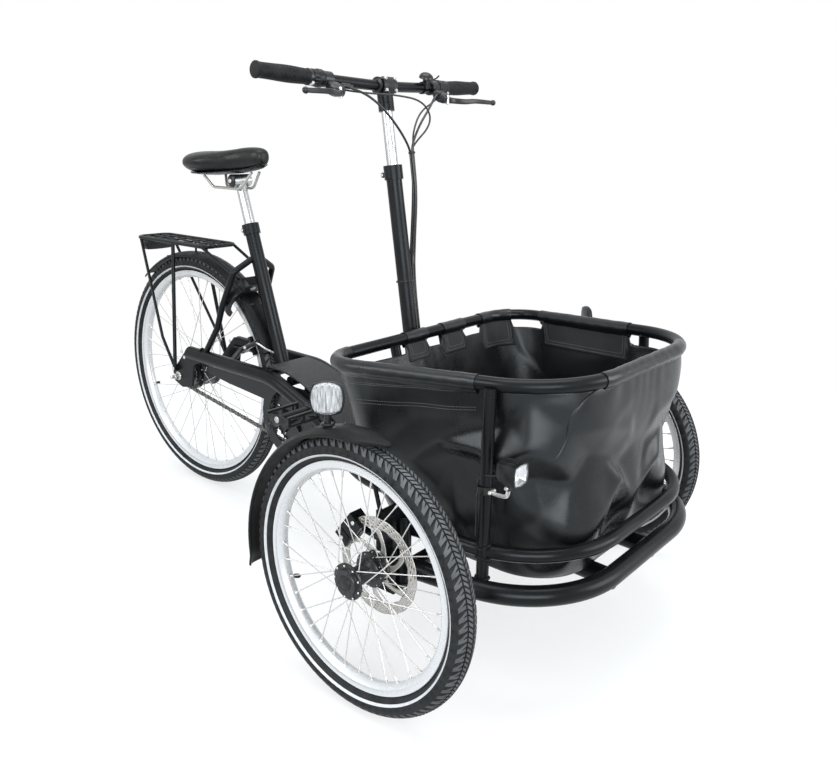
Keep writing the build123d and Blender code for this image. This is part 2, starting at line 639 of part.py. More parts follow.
def tub_uprights():
    """The front uprights between the bumpers and up to the rim, and the rear ones behind the tub."""
    foot = (UPRIGHT_X, -UPRIGHT_FOOT_Y, BUMPER_Z)
    waist = upright_point(UPPER_Z)
    top = upright_point(tub_z(UPRIGHT_X) - 4)
    low = rod(foot, waist, UPRIGHT_R) - lower_loop(BUMPER_R + WELD) - upper_loop(UPPER_R + WELD)
    high = rod(waist, top, UPRIGHT_R) - upper_loop(UPPER_R + WELD) - tub_side(RIM_TUBE_R + WELD)
    back = rod((REAR_UPRIGHT_X, -MAIN_Y, MAIN_LOW_Z - 10), (TUB_REAR_X - 18, -MAIN_Y, TUB_REAR_Z), UPRIGHT_R)
    back -= main_low_run(MAIN_R + WELD)
    back -= rod((TUB_REAR_X, -200, TUB_REAR_Z), (TUB_REAR_X, 0, TUB_REAR_Z), RIM_TUBE_R + WELD)
    pieces = [largest(low), largest(high), largest(back)]
    return Compound(pieces + [other_side(piece) for piece in pieces])


def tub_side(radius):
    """The straight right side of the rim's tube at a given radius."""
    rear = (TUB_REAR_X, -TUB_REAR_Y, TUB_REAR_Z)
    return rod(rear, (TUB_FRONT_X, -TUB_FRONT_Y, tub_z(TUB_FRONT_X)), radius)


# ---- steering ---------------------------------------------------------------------------
def about_pin(shape):
    """A shape made round the Z axis, leant with the column and set on the drop arm's pin."""
    return Pos(PIN_X, 0, ROD_Z) * Rot(0, -COLUMN_LEAN, 0) * shape


def steering_column():
    """The lower column with its clamp collar and the drop arm under its bearing."""
    tube = rod(column_point(COLUMN_LOW), column_point(COLUMN_TOP), COLUMN_R)
    tube += rod(column_point(COLUMN_TOP - 20), column_point(COLUMN_TOP + 10), COLUMN_R + 3.5)
    tube -= rod(column_point(COLUMN_TOP - 150), column_point(COLUMN_TOP + 20), STEM_R + 0.1)
    pin_x = PIN_X
    front_x = column_point(COLUMN_LOW)[0] + COLUMN_R + 3
    arm = Pos((pin_x - 14 + front_x) / 2, 0, ROD_Z + 17) * Box(front_x - pin_x + 14, 36, 8)
    pin = about_pin(Pos(0, 0, 2.5) * Cylinder(PIN_R, 31) + Pos(0, 0, -10.5) * Cylinder(9, 5))
    return tube + arm + pin


def stem_post():
    """The silver telescopic stem."""
    return rod(column_point(COLUMN_TOP - 140), column_point(STEM_TOP + 22), STEM_R)


def bar_centre():
    """Middle of the handlebar, just over the stem."""
    return column_point(STEM_TOP + 35)


def handlebar():
    """The bar, almost straight and swept back a little, and its stem clamp."""
    x, _, z = bar_centre()
    right = [(x - BAR_SWEEP, -BAR_HALF, z + BAR_RISE), (x - BAR_BEND_SWEEP, -BAR_BEND_Y, z + BAR_BEND_RISE),
             (x, -BAR_STRAIGHT, z)]
    left = [(px, -py, pz) for px, py, pz in reversed(right)]
    bar = bent(right + left, [BAR_BEND] * 4, BAR_R)
    clamp = Pos(x, 0, z) * Cylinder(18, 44, rotation=(90, 0, 0))
    clamp += rod(column_point(STEM_TOP - 18), column_point(STEM_TOP + 24), STEM_R + 5)
    clamp -= rod(column_point(STEM_TOP - 30), column_point(STEM_TOP + 22), STEM_R + 0.1)
    return bar + clamp


def bar_end():
    """The bar's right end and its direction inwards."""
    x, _, z = bar_centre()
    end = Vector(x - BAR_SWEEP, -BAR_HALF, z + BAR_RISE)
    inner = Vector(x - BAR_BEND_SWEEP, -BAR_BEND_Y, z + BAR_BEND_RISE)
    return end, (inner - end).normalized()


def grips():
    """Rubber grips over the bar's ends."""
    end, way = bar_end()
    start = end - way * 4
    body = rod(start, end + way * GRIP_LEN, GRIP_R)
    body -= rod(end - way * 0.2, end + way * (GRIP_LEN + 5), BAR_R + 0.2)
    return both(body)


def brake_levers():
    """Brake levers with their clamps and blades."""
    end, way = bar_end()
    near = end + way * (GRIP_LEN + 28)
    clamp = rod(near, near + way * 22, BAR_R + 5) - rod(near - way * 5, near + way * 40, BAR_R + 0.2)
    root = near + way * 11 + Vector(BAR_R + 8, 0, -6)
    body = rod(root - Vector(6, 0, 0), root + Vector(24, -4, -10), 9)
    pivot = root + Vector(26, -4, -11)
    blade = bent([pivot, pivot + Vector(22, -30, -3), end + way * 40 + Vector(92, 0, -18)], [30], 5.5)
    return both(clamp + body + blade)


def shifter():
    """The twist shifter beside the right grip and the bell on the left."""
    end, way = bar_end()
    start = end + way * (GRIP_LEN + 1)
    twist = rod(start, start + way * 25, BAR_R + 7) - rod(start - way * 5, start + way * 40, BAR_R + 0.2)
    left = other_side(twist)
    return Compound([twist, left])


def tie_rods():
    """Two rods from the drop arm's pin out to open eyes round the knuckle arms' pins."""
    eye_x = KINGPIN_X - ARM_LEN
    whole = about_pin(Cylinder(15, 14))
    for side in (-1, 1):
        start = Vector(PIN_X, 0, ROD_Z)
        eye = Vector(eye_x, side * KINGPIN_Y, ROD_Z)
        way = (eye - start).normalized()
        whole += rod(start + way * 8, eye - way * 9, ROD_R)
        whole += Pos(*eye) * Cylinder(12, 13)
        whole -= Pos(*eye) * Cylinder(6.5, 40)
    return whole - about_pin(Cylinder(PIN_R + 0.1, 40))


def knuckle():
    """The right steering knuckle: kingpin, forked plate, stub axle, steering arm and caliper."""
    x, y = KINGPIN_X, -KINGPIN_Y
    low = HEAD_LOW_Z - KNUCKLE_GAP
    high = HEAD_TOP_Z + KNUCKLE_GAP
    half = KNUCKLE_PLATE / 2
    body = rod((x, y, low - 6), (x, y, high + 6), KINGPIN_R)
    body += Pos(x - 14, y - 30, (low + high) / 2) * Box(40, KNUCKLE_PLATE, high - low + 2 * KNUCKLE_PLATE)
    for z in (low - half, high + half):
        body += Pos(x - 10, y - 10, z) * Box(36, 48, KNUCKLE_PLATE)
    stub_end = -HALF_TRACK - FRONT_FLANGE_OUT + 2
    body += rod((WHEELBASE, y - 28, FRONT_TYRE_R), (WHEELBASE, stub_end, FRONT_TYRE_R), STUB_R)
    body += Pos(x - ARM_LEN / 2 - 8, y, low - half) * Box(ARM_LEN, 18, KNUCKLE_PLATE)
    body += rod((x - ARM_LEN, y, ROD_Z - 8), (x - ARM_LEN, y, low), 5)
    return body + caliper(y) + guard_stay(x, y, high)


def caliper(y):
    """The brake caliper round the disc's upper rear edge, on its bracket."""
    at = math.radians(CALIPER_ANGLE)
    x = WHEELBASE + CALIPER_R * math.cos(at)
    z = FRONT_TYRE_R + CALIPER_R * math.sin(at)
    disc_y = -HALF_TRACK + DISC_OFFSET
    block = Pos(x, disc_y + 3, z) * Rot(0, 90 - CALIPER_ANGLE, 0) * Box(62, 28, 34)
    slot = Cylinder(DISC_R + 6, DISC_THICK + 3, rotation=(90, 0, 0))
    block -= Pos(WHEELBASE, disc_y, FRONT_TYRE_R) * slot
    return block + rod((x + 8, disc_y + 14, z), (KINGPIN_X - 20, y - 30, FRONT_TYRE_R + 40), 6)


def guard_stay(x, y, high):
    """The rod from the knuckle up to the mudguard's inner face."""
    reach = FRONT_TYRE_R + GUARD_CLEAR - 8.5
    at = math.radians(97)
    tip = (WHEELBASE + reach * math.cos(at), -HALF_TRACK + 20, FRONT_TYRE_R + reach * math.sin(at))
    return bent([(x - 24, y - 31, high - 2), (x - 34, y - 44, tip[2] - 86), (tip[0] + 3, y - 56, tip[2] - 26), tip],
                [80, 14], 4)


def guard_profile(crown):
    """A mudguard's thin curved section about its wheel."""
    outer = ThreePointArc((crown - 9, -GUARD_HALF), (crown, 0), (crown - 9, GUARD_HALF))
    inner = ThreePointArc((crown - 9 - GUARD_WALL, -GUARD_HALF), (crown - GUARD_WALL, 0),
                          (crown - 9 - GUARD_WALL, GUARD_HALF))
    ends = [Line(outer @ 0, inner @ 0), Line(outer @ 1, inner @ 1)]
    return make_face(Curve() + [outer, inner] + ends)


def front_mudguard():
    """The right front mudguard, which steers with its wheel."""
    crown = FRONT_TYRE_R + GUARD_CLEAR + GUARD_WALL
    shell = turned(guard_profile(crown), FRONT_GUARD_FROM, FRONT_GUARD_TO - FRONT_GUARD_FROM)
    at = math.radians(FRONT_GUARD_FROM)
    tip = Pos(crown * math.cos(at), 0, crown * math.sin(at)) * Rot(0, 90 - FRONT_GUARD_FROM, 0)
    wedge = make_face(Polyline((-GUARD_TAPER, GUARD_HALF), (1, GUARD_TIP_HALF), (20, GUARD_TIP_HALF),
                               (20, GUARD_HALF + 5), (-GUARD_TAPER, GUARD_HALF + 5), close=True))
    for side in (-1, 1):
        shell -= tip * extrude(Plane.XY * Rot(90 - 90 * side, 0, 0) * wedge, amount=30, both=True)
    return Pos(WHEELBASE, -HALF_TRACK, FRONT_TYRE_R) * largest(shell)


def rear_mudguard():
    """The rear mudguard over the driven wheel."""
    shell = turned(guard_profile(REAR_TYRE_R + REAR_GUARD_CLEAR + GUARD_WALL), REAR_GUARD_FROM,
                   REAR_GUARD_TO - REAR_GUARD_FROM)
    return Pos(0, 0, REAR_TYRE_R) * shell


def reflector():
    """The white reflector that stands on the front mudguard."""
    box = Box(REFLECTOR_SIZE, REFLECTOR_THICK, REFLECTOR_SIZE)
    box = fillet(box.edges().filter_by(Axis.Y), 16)
    middle = guard_top(REFLECTOR_X) + REFLECTOR_LIFT
    body = Pos(REFLECTOR_X, -HALF_TRACK - 5.5, middle) * Rot(0, 0, 40) * box
    low = guard_top(REFLECTOR_X + 7) + SEAT
    high = middle - 25
    return body + Pos(REFLECTOR_X, -HALF_TRACK - 3, (low + high) / 2) * Box(14, 6, high - low)


def guard_top(x):
    """Height of the front mudguard's crown at a place along the vehicle."""
    crown = FRONT_TYRE_R + GUARD_CLEAR + GUARD_WALL
    return FRONT_TYRE_R + math.sqrt(crown ** 2 - (x - WHEELBASE) ** 2)


# ---- rack, lock, brake, drive -----------------------------------------------------------
def rear_rack():
    """The wire rack with two legs a side down to the axle and a strap to the mudguard."""
    outline = [(RACK_FRONT_X, -RACK_HALF + 30, RACK_Z), (RACK_FRONT_X, -RACK_HALF, RACK_Z),
               (RACK_REAR_X, -RACK_HALF, RACK_Z), (RACK_REAR_X, RACK_HALF, RACK_Z),
               (RACK_FRONT_X, RACK_HALF, RACK_Z), (RACK_FRONT_X, -RACK_HALF + 34, RACK_Z)]
    rack = bent(outline, [20, RACK_BEND, RACK_BEND, 20], RACK_ROD_R + 1)
    for y in RACK_WIRE_YS:
        rack += rod((RACK_FRONT_X, y, RACK_Z), (RACK_REAR_X, y, RACK_Z), 2.5)
    for k in range(RACK_SLATS):
        x = RACK_REAR_X + 60 + RACK_SLAT_PITCH * k
        rack += rod((x, -RACK_HALF, RACK_Z), (x, RACK_HALF, RACK_Z), 3)
    low_y = DROPOUT_Y + DROPOUT_THICK + RACK_ROD_R + 2.8
    crown = REAR_TYRE_R + REAR_TYRE_R + REAR_GUARD_CLEAR + GUARD_WALL
    for side in (-1, 1):
        low = (-4, side * low_y, REAR_TYRE_R + 22)
        knee = (-56, side * low_y, REAR_TYRE_R + 103)
        rack += rod((RACK_REAR_X + 20, side * RACK_HALF, RACK_Z), knee, RACK_ROD_R)
        rack += rod(knee, low, RACK_ROD_R)
        rack += rod((low[0], side * (DROPOUT_Y + DROPOUT_THICK + WELD), low[2]), (low[0], side * (low_y + 5), low[2]), 7)
        rack += rod((-36, side * RACK_HALF, RACK_Z), low, RACK_ROD_R + 1)
        rack += rod((92, side * RACK_HALF, RACK_Z), (seat_x(RACK_Z - 70) - 40, side * 46, RACK_Z - 68), RACK_ROD_R)
    return rack + rod((-4, 0, RACK_Z), (-4, 0, crown + 0.4), 3)


def tail_lamp():
    """The rear lamp under the rack's rear end."""
    lamp = Box(34, 84, 30)
    lamp = fillet(lamp.edges().filter_by(Axis.X), 8)
    top = RACK_Z - 0.3 - 2.5
    return Pos(RACK_REAR_X + 18, 0, top - 18) * lamp + Pos(RACK_REAR_X + 18, 0, top - 2.5) * Box(20, 30, 5)


def wheel_polar(radius, degrees, y):
    """A point about the rear axle."""
    at = math.radians(degrees)
    return (radius * math.cos(at), y, REAR_TYRE_R + radius * math.sin(at))


def ring_lock():
    """The frame lock: a horseshoe round the tyre and guard with its body on top."""
    middle = (REAR_TYRE_R + REAR_RIM_R) / 2
    origin = wheel_polar(middle, LOCK_ANGLE, 0)
    at = math.radians(LOCK_ANGLE)
    plane = Plane(origin=origin, x_dir=(0, 1, 0), z_dir=(math.sin(at), 0, -math.cos(at)))
    shape = Circle(60) - Circle(45) - Pos(0, 55) * Rectangle(56, 60)
    test = plane.to_local_coords(Vector(0, 0, REAR_TYRE_R))
    if test.Y < 0:
        shape = Circle(60) - Circle(45) - Pos(0, -55) * Rectangle(56, 60)
    horseshoe = extrude(plane * shape, amount=10, both=True)
    sign = -1 if test.Y > 0 else 1
    body = Pos(0, sign * 61) * RectangleRounded(74, 30, 8)
    return horseshoe + extrude(plane * body, amount=14, both=True)


def rear_brake():
    """The rim brake: two arms on posts from the frame tubes, with a pad each side of the rim."""
    pad_r = REAR_RIM_R - 7
    pad_y = RIM_WIDTH / 2 + 2
    x, _, z = wheel_polar(pad_r, BRAKE_ANGLE, 0)
    turn = Rot(0, 90 - BRAKE_ANGLE, 0)
    pad = Pos(x, -pad_y - 5, z) * turn * Box(50, 10, 9)
    arm = rod(wheel_polar(pad_r - 32, BRAKE_ANGLE, -pad_y - 22), wheel_polar(pad_r + 44, BRAKE_ANGLE, -pad_y - 22), 7)
    bolt = rod((x, -pad_y - 8, z), (x, -pad_y - 24, z), 5)
    post = rod(wheel_polar(pad_r - 28, BRAKE_ANGLE, -pad_y - 24), (x - 24, -MAIN_Y, MAIN_TOP_Z), 7)
    post -= main_high_run(MAIN_R + WELD)
    return both(pad + arm + bolt + largest(post))


def headlamp():
    """The headlamp in front of the right upright, on a wire bracket from a band round it."""
    shell = fillet(Box(46, 44, 42).edges().filter_by(Axis.X), 10)
    lamp = Pos(LAMP_X, LAMP_Y, LAMP_Z) * shell
    low = upright_point(LAMP_Z - 58)
    high = upright_point(LAMP_Z - 44)
    band = rod(low, high, UPRIGHT_R + 4)
    start = upright_point(LAMP_Z - 51)
    wire = bent([(start[0] + 8, start[1], start[2]), (start[0] + 34, start[1] - 4, start[2]),
                 (LAMP_X, LAMP_Y, start[2] + 12), (LAMP_X, LAMP_Y, LAMP_Z - 16)], [12, 10], 3)
    return lamp + wire + band - rod(upright_point(LAMP_Z - 70), upright_point(LAMP_Z - 30), UPRIGHT_R + WELD)


def chain_guard():
    """The chain guard: a plate along the upper run that widens round the chainring."""
    top = deck_rest(DECK_REAR_REST)[1] - CROSS_R - SEAT
    strip = make_face(Polyline((112, REAR_TYRE_R + 25), (112, REAR_TYRE_R + 47), (140, top), (BRACKET_X, top),
                               (BRACKET_X, BRACKET_Z + 27), (BRACKET_X - 98, BRACKET_Z + 31),
                               (200, REAR_TYRE_R + 14), close=True))
    opening = Pos(BRACKET_X, BRACKET_Z) * Circle(RING_R + 2)
    ring = Pos(BRACKET_X, BRACKET_Z) * Circle(RING_R + 28)
    limit = Pos(BRACKET_X, top - 200) * Rectangle(800, 400)
    face = (strip + ring) & limit
    return Pos(0, CHAIN_Y - 12, 0) * extrude(Plane.XZ * (face - opening), amount=2)


def chain():
    """The chain as one closed band round the two toothed rings."""
    half = CHAIN_DEEP / 2
    return chain_band(SPROCKET_R + half, RING_R + half) - chain_band(SPROCKET_R - half, RING_R - half)


def chain_band(r_rear, r_front):
    """A solid belt shape round both centres."""
    span = math.hypot(BRACKET_X, BRACKET_Z - REAR_TYRE_R)
    slope = math.atan2(BRACKET_Z - REAR_TYRE_R, BRACKET_X)
    open_angle = math.asin((r_front - r_rear) / span)
    up = slope + math.pi / 2 + open_angle
    down = slope - math.pi / 2 - open_angle
    pts = []
    for cx, cz, r, at in ((0, REAR_TYRE_R, r_rear, up), (BRACKET_X, BRACKET_Z, r_front, up),
                          (BRACKET_X, BRACKET_Z, r_front, down), (0, REAR_TYRE_R, r_rear, down)):
        pts.append((cx + r * math.cos(at), cz + r * math.sin(at)))
    rear_mid = (-r_rear * math.cos(slope), REAR_TYRE_R - r_rear * math.sin(slope))
    front_mid = (BRACKET_X + r_front * math.cos(slope), BRACKET_Z + r_front * math.sin(slope))
    face = make_face(Curve() + [Line(pts[0], pts[1]), ThreePointArc(pts[1], front_mid, pts[2]),
                                Line(pts[2], pts[3]), ThreePointArc(pts[3], rear_mid, pts[0])])
    return Pos(0, CHAIN_Y + CHAIN_WIDE / 2, 0) * extrude(Plane.XZ * face, amount=CHAIN_WIDE)


def crankset():
    """Crank axle, chainring and both arms, a half turn apart."""
    at = math.radians(CRANK_ANGLE)
    tip = (CRANK_LEN * math.cos(at), 0, CRANK_LEN * math.sin(at))
    arm = rod((0, 0, 0), tip, CRANK_ARM_R)
    arm += Pos(*tip) * Cylinder(CRANK_EYE_R, 2 * CRANK_ARM_R, rotation=(90, 0, 0))
    arm += Cylinder(15, CRANK_THICK + 4, rotation=(90, 0, 0))
    whole = Cylinder(8.9, 2 * CRANK_Y, rotation=(90, 0, 0))
    whole += Pos(0, -CRANK_Y, 0) * arm + Pos(0, CRANK_Y, 0) * Rot(0, 180, 0) * arm
    whole += Pos(0, CHAIN_Y, 0) * Cylinder(RING_R - CHAIN_INNER, 2.4, rotation=(90, 0, 0))
    return Pos(BRACKET_X, 0, BRACKET_Z) * whole


def pedal(side):
    """One pedal on its spindle."""
    at = math.radians(CRANK_ANGLE)
    x = BRACKET_X - side * CRANK_LEN * math.cos(at)
    z = BRACKET_Z - side * CRANK_LEN * math.sin(at)
    start = CRANK_Y + CRANK_ARM_R + SEAT
    body = fillet(Box(PEDAL_WIDE, PEDAL_LEN, PEDAL_THICK).edges().filter_by(Axis.Y), 6)
    body = Pos(0, side * (start + 4 + PEDAL_LEN / 2), 0) * body
    return Pos(x, 0, z) * (body + rod((0, side * start, 0), (0, side * (start + 8), 0), 7))


def cable_route(side):
    """The points of one brake cable, from its lever round to the column's left and down to the housing."""
    x, _, z = bar_centre()
    beside = COLUMN_R + CABLE_R + SEAT
    shift = math.copysign(CABLE_R + 0.4, side)
    loop = [(x + 24, side * 155.2, z - 7), (x + 42, side * 122, z - 13), (x + 60, side * 88, z - 38),
            (x + 62, side * 56, z - 78), (x + 56, side * 24 + 6, z - 124)]
    down = [column_point(COLUMN_TOP, 40 + shift, 17), column_point(COLUMN_TOP - 62, 19 + shift, beside + 4),
            column_point(COLUMN_TOP - 118, shift, beside), column_point(BEARING_TOP + SEAT, shift, beside)]
    return loop + down


def cord(points, radius):
    """A cable along straight runs joined by the largest arcs that the runs allow."""
    corners = [Vector(*p) for p in points]
    radii = []
    for before, here, after in zip(corners, corners[1:], corners[2:]):
        turn = math.radians((here - before).get_angle(after - here))
        short = min((here - before).length, (after - here).length)
        radii.append(0.45 * short / math.tan(turn / 2))
    return bent(points, radii, radius)


def write(name, shape):
    """Move a piece to the stored frame and write it."""
    export_step(Pos(-CENTRE_X, 0, 0) * shape, f"parts/{name}.step")


os.makedirs("parts", exist_ok=True)

front_wheel_at = Pos(WHEELBASE, -HALF_TRACK, FRONT_TYRE_R)
front_pieces = {
    "front_tyre": tyre(FRONT_TYRE_R, FRONT_RIM_R),
    "front_rim": rim(FRONT_RIM_R),
    "front_spokes": spokes(FRONT_RIM_R, FRONT_FLANGE_R, -FRONT_FLANGE_OUT, FRONT_FLANGE_IN, 2),
    "front_hub": front_hub(),
    "front_disc": disc(),
}
for piece_name, piece in front_pieces.items():
    right = front_wheel_at * piece
    write(f"{piece_name}_right", right)
    write(f"{piece_name}_left", other_side(right))

rear_wheel_at = Pos(0, 0, REAR_TYRE_R)
write("rear_tyre", rear_wheel_at * tyre(REAR_TYRE_R, REAR_RIM_R))
write("rear_rim", rear_wheel_at * rim(REAR_RIM_R))
write("rear_spokes", rear_wheel_at * spokes(REAR_RIM_R, REAR_FLANGE_R, -REAR_FLANGE_Y, REAR_FLANGE_Y, 3))
write("rear_hub", rear_wheel_at * rear_hub())

for piece_name, piece in (("main_frame", main_tube()), ("knuckle", knuckle()),
                          ("front_mudguard", front_mudguard()), ("reflector", reflector())):
    write(f"{piece_name}_right", piece)
    write(f"{piece_name}_left", other_side(piece))

for piece_name, side in (("brake_cable_right", -1), ("brake_cable_left", 1)):
    write(piece_name, cord(cable_route(side), CABLE_R))

for piece_name, piece in (
        ("rear_axle", rear_axle()), ("tail_lamp", tail_lamp()), ("ring_lock", ring_lock()),
        ("rear_brake", rear_brake()), ("headlamp", headlamp()),
        ("frame_links", frame_links()), ("seat_tube", seat_tube()), ("seat_post", seat_post()),
        ("saddle", saddle()), ("saddle_rails", saddle_rails()), ("seat_stays", seat_stays()),
        ("deck_cover", deck_cover()), ("battery_block", battery_block()),
        ("lower_bumper", lower_bumper()), ("upper_bumper", upper_bumper()),
        ("tub_rim", tub_rim()), ("tub_bag", tub_bag()), ("tub_uprights", tub_uprights()),
        ("steering_column", steering_column()), ("stem_post", stem_post()),
        ("handlebar", handlebar()), ("grips", grips()), ("brake_levers", brake_levers()),
        ("bar_controls", shifter()), ("tie_rods", tie_rods()), ("rear_mudguard", rear_mudguard()),
        ("rear_rack", rear_rack()), ("chain_guard", chain_guard()), ("chain", chain()),
        ("crankset", crankset()), ("pedal_right", pedal(-1)), ("pedal_left", pedal(1))):
    write(piece_name, piece)
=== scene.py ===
"""Looks of an electric cargo tricycle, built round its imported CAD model.

Each sub-assembly is a class: its sizes are fields, and its methods build the meshes and dress them.
Metres, +X forwards, +Y to the rider's left, +Z up, with the origin on the ground at mid length.
"""

import logging
import math
from collections.abc import Sequence
from dataclasses import dataclass, field
from enum import Enum

import bmesh
import bpy
import numpy as np
from mathutils import Matrix, Vector
from mathutils.geometry import delaunay_2d_cdt

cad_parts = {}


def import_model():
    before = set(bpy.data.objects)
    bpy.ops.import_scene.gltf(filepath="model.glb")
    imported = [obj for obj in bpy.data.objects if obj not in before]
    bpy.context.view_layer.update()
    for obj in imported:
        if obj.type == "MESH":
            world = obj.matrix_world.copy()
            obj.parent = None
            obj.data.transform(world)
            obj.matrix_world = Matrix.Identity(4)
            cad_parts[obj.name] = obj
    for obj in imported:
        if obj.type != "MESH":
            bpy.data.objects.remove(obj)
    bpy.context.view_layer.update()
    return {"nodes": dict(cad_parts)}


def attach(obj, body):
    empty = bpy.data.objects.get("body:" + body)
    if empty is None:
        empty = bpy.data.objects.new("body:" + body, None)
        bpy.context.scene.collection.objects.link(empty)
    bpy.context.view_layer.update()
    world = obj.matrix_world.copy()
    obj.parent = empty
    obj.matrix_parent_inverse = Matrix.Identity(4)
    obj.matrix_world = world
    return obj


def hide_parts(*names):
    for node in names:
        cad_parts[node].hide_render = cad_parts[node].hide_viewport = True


Array = np.ndarray
Point = tuple[float, float, float]
Vec = Sequence[float]
Socket = bpy.types.NodeSocket
Inputs = dict[str | int, object]
Mask = tuple[Socket, Socket]
LOG = logging.getLogger("tricycle")
TAU = 2 * math.pi
SIDES = ((-1, "right"), (1, "left"))
RANGE = ("From Min", "From Max", "To Min", "To Max")

# ---- places set out from the ground under the rear axle ---------------------------------
CENTRE_X = 0.5275
REAR_TYRE_R = 0.327
REAR_RIM_R = 0.2855
FRONT_TYRE_R = 0.250
FRONT_RIM_R = 0.209
WHEELBASE = 1.043
HALF_TRACK = 0.4325
RIM_TUBE_R = 0.0125
SEAT_LEAN = math.radians(18)
COLUMN_LEAN = math.radians(8.9)


def vec(*parts: float) -> Array:
    """A point or a direction from its parts."""
    return np.array(parts)


def mm(*rows: Sequence[float]) -> Array:
    """Rows of lengths that are given in millimetres."""
    return np.array(rows) / 1000


def place(x: float, y: float, z: float) -> Array:
    """A point given from the rear axle's ground point, moved into the shared frame."""
    return vec(x - CENTRE_X, y, z)


# ---- shader effects ---------------------------------------------------------------------
class Effect(Enum):
    """The surface effects that materials share."""

    PEEL = "powder_peel"
    GRAIN = "moulded_grain"
    WEAVE = "coated_weave"
    BRUSHED = "brushed_lines"
    HIDE = "pebbled_hide"
    SPECKLE = "non_slip_speckle"
    PRISM_GLINTS = "painted_prism_glints"


class Nodes:
    """A node tree, with a short way to add nodes to it, set up and linked."""

    def __init__(self, tree: bpy.types.NodeTree) -> None:
        """Takes the tree to build in."""
        self.tree = tree

    def add(self, kind: str, inputs: Inputs | None = None, **settings: object) -> bpy.types.Node:
        """Adds a shader node.

        Args:
            kind: The node's type, after "ShaderNode".
            inputs: What each input takes: a socket to link, or a value.
            settings: The node's own properties.

        Returns:
            The new node.
        """
        node = self.tree.nodes.new("ShaderNode" + kind)
        for name, value in settings.items():
            setattr(node, name, value)
        self.feed(node, inputs or {})
        return node

    def feed(self, node: bpy.types.Node, inputs: Inputs) -> None:
        """Links or sets the inputs of a node.

        Args:
            node: The node.
            inputs: What each input takes: a socket to link, or a value.
        """
        for name, value in inputs.items():
            if isinstance(value, Socket):
                self.tree.links.new(value, node.inputs[name])
            else:
                node.inputs[name].default_value = value


class EffectNodes(Nodes):
    """The inside of each effect: a method takes the scaled place and gives the mask and height."""

    def noise(self, vector: Socket, scale: float, detail: float, rough: float = 0.5) -> Socket:
        """A noise texture's value at a scale, detail and roughness."""
        inputs = {"Scale": scale, "Detail": detail, "Roughness": rough, "Vector": vector}
        return self.add("TexNoise", inputs).outputs["Fac"]

    def math(self, operation: str, first: Socket | float, second: Socket | float) -> Socket:
        """A math node's result of two sockets or numbers."""
        return self.add("Math", {0: first, 1: second}, operation=operation).outputs[0]

    def stretch(self, value: Socket, low: float, high: float) -> Socket:
        """A value eased so that low becomes 0 and high becomes 1, clamped."""
        inputs = {"From Min": low, "From Max": high, "Value": value}
        return self.add("MapRange", inputs, interpolation_type="SMOOTHSTEP").outputs["Result"]

    def peel(self, vector: Socket) -> Mask:
        """Powder coat: a soft orange peel with wide, faint clouds of dust."""
        clouds = self.stretch(self.noise(vector, 0.012, 3), 0.35, 0.7)
        return clouds, self.noise(vector, 1.0, 1.5)

    def grain(self, vector: Socket) -> Mask:
        """Moulded plastic and rubber: fine sharp grain, and clouds of handling marks."""
        clouds = self.stretch(self.noise(vector, 0.03, 4, 0.6), 0.3, 0.7)
        return clouds, self.noise(vector, 1.0, 4, 0.7)

    def weave(self, vector: Socket) -> Mask:
        """Coated cloth: two crossed waves under a soft skin, with creased clouds.

        Args:
            vector: The scaled place.

        Returns:
            The mask and the height.
        """
        inputs = {"Scale": 1.0, "Distortion": 0.4, "Vector": vector}
        waves = [self.add("TexWave", inputs, bands_direction=axis).outputs["Fac"] for axis in "XZ"]
        rough = self.math("MULTIPLY", self.noise(vector, 0.6, 3), 0.5)
        clouds = self.stretch(self.noise(vector, 0.016, 5, 0.62), 0.34, 0.68)
        return clouds, self.math("ADD", self.math("MULTIPLY", *waves), rough)

    def brushed(self, vector: Socket, along: Point = (1.0, 0.06, 1.0)) -> Mask:
        """Drawn metal: faint streaks from a noise squeezed along one axis.

        Args:
            vector: The scaled place.
            along: How much of each axis is kept.

        Returns:
            The mask and the height.
        """
        squeeze = self.add("VectorMath", {0: vector, 1: along}, operation="MULTIPLY")
        streaks = self.noise(squeeze.outputs[0], 1.0, 3, 0.6)
        return self.stretch(streaks, 0.3, 0.7), streaks

    def ribbed(self, vector: Socket) -> Mask:
        """A prism lens: upright streaks, light and dark, painted reflection for the prisms' glints and dark
        facets.
        """
        return self.brushed(vector, (1.0, 1.0, 0.07))

    def hide(self, vector: Socket) -> Mask:
        """Pebbled cover: rounded cells with narrow valleys.

        Args:
            vector: The scaled place.

        Returns:
            The mask and the height.
        """
        cells = self.add("TexVoronoi", {"Scale": 1.0, "Vector": vector}, feature="SMOOTH_F1")
        height = self.math("SUBTRACT", 1.0, cells.outputs["Distance"])
        return self.stretch(self.noise(vector, 0.05, 4), 0.3, 0.7), height

    def speckle(self, vector: Socket) -> Mask:
        """Non-slip cover: scattered pale grit in a dark, rough sheet.

        Args:
            vector: The scaled place.

        Returns:
            The mask and the height.
        """
        cells = self.add("TexVoronoi", {"Scale": 1.0, "Vector": vector})
        dots = self.stretch(cells.outputs["Distance"], 0.34, 0.18)
        chosen = self.stretch(self.noise(vector, 0.45, 1), 0.52, 0.6)
        return self.math("MULTIPLY", dots, chosen), self.math(
            "ADD", dots, self.noise(vector, 2.0, 2))


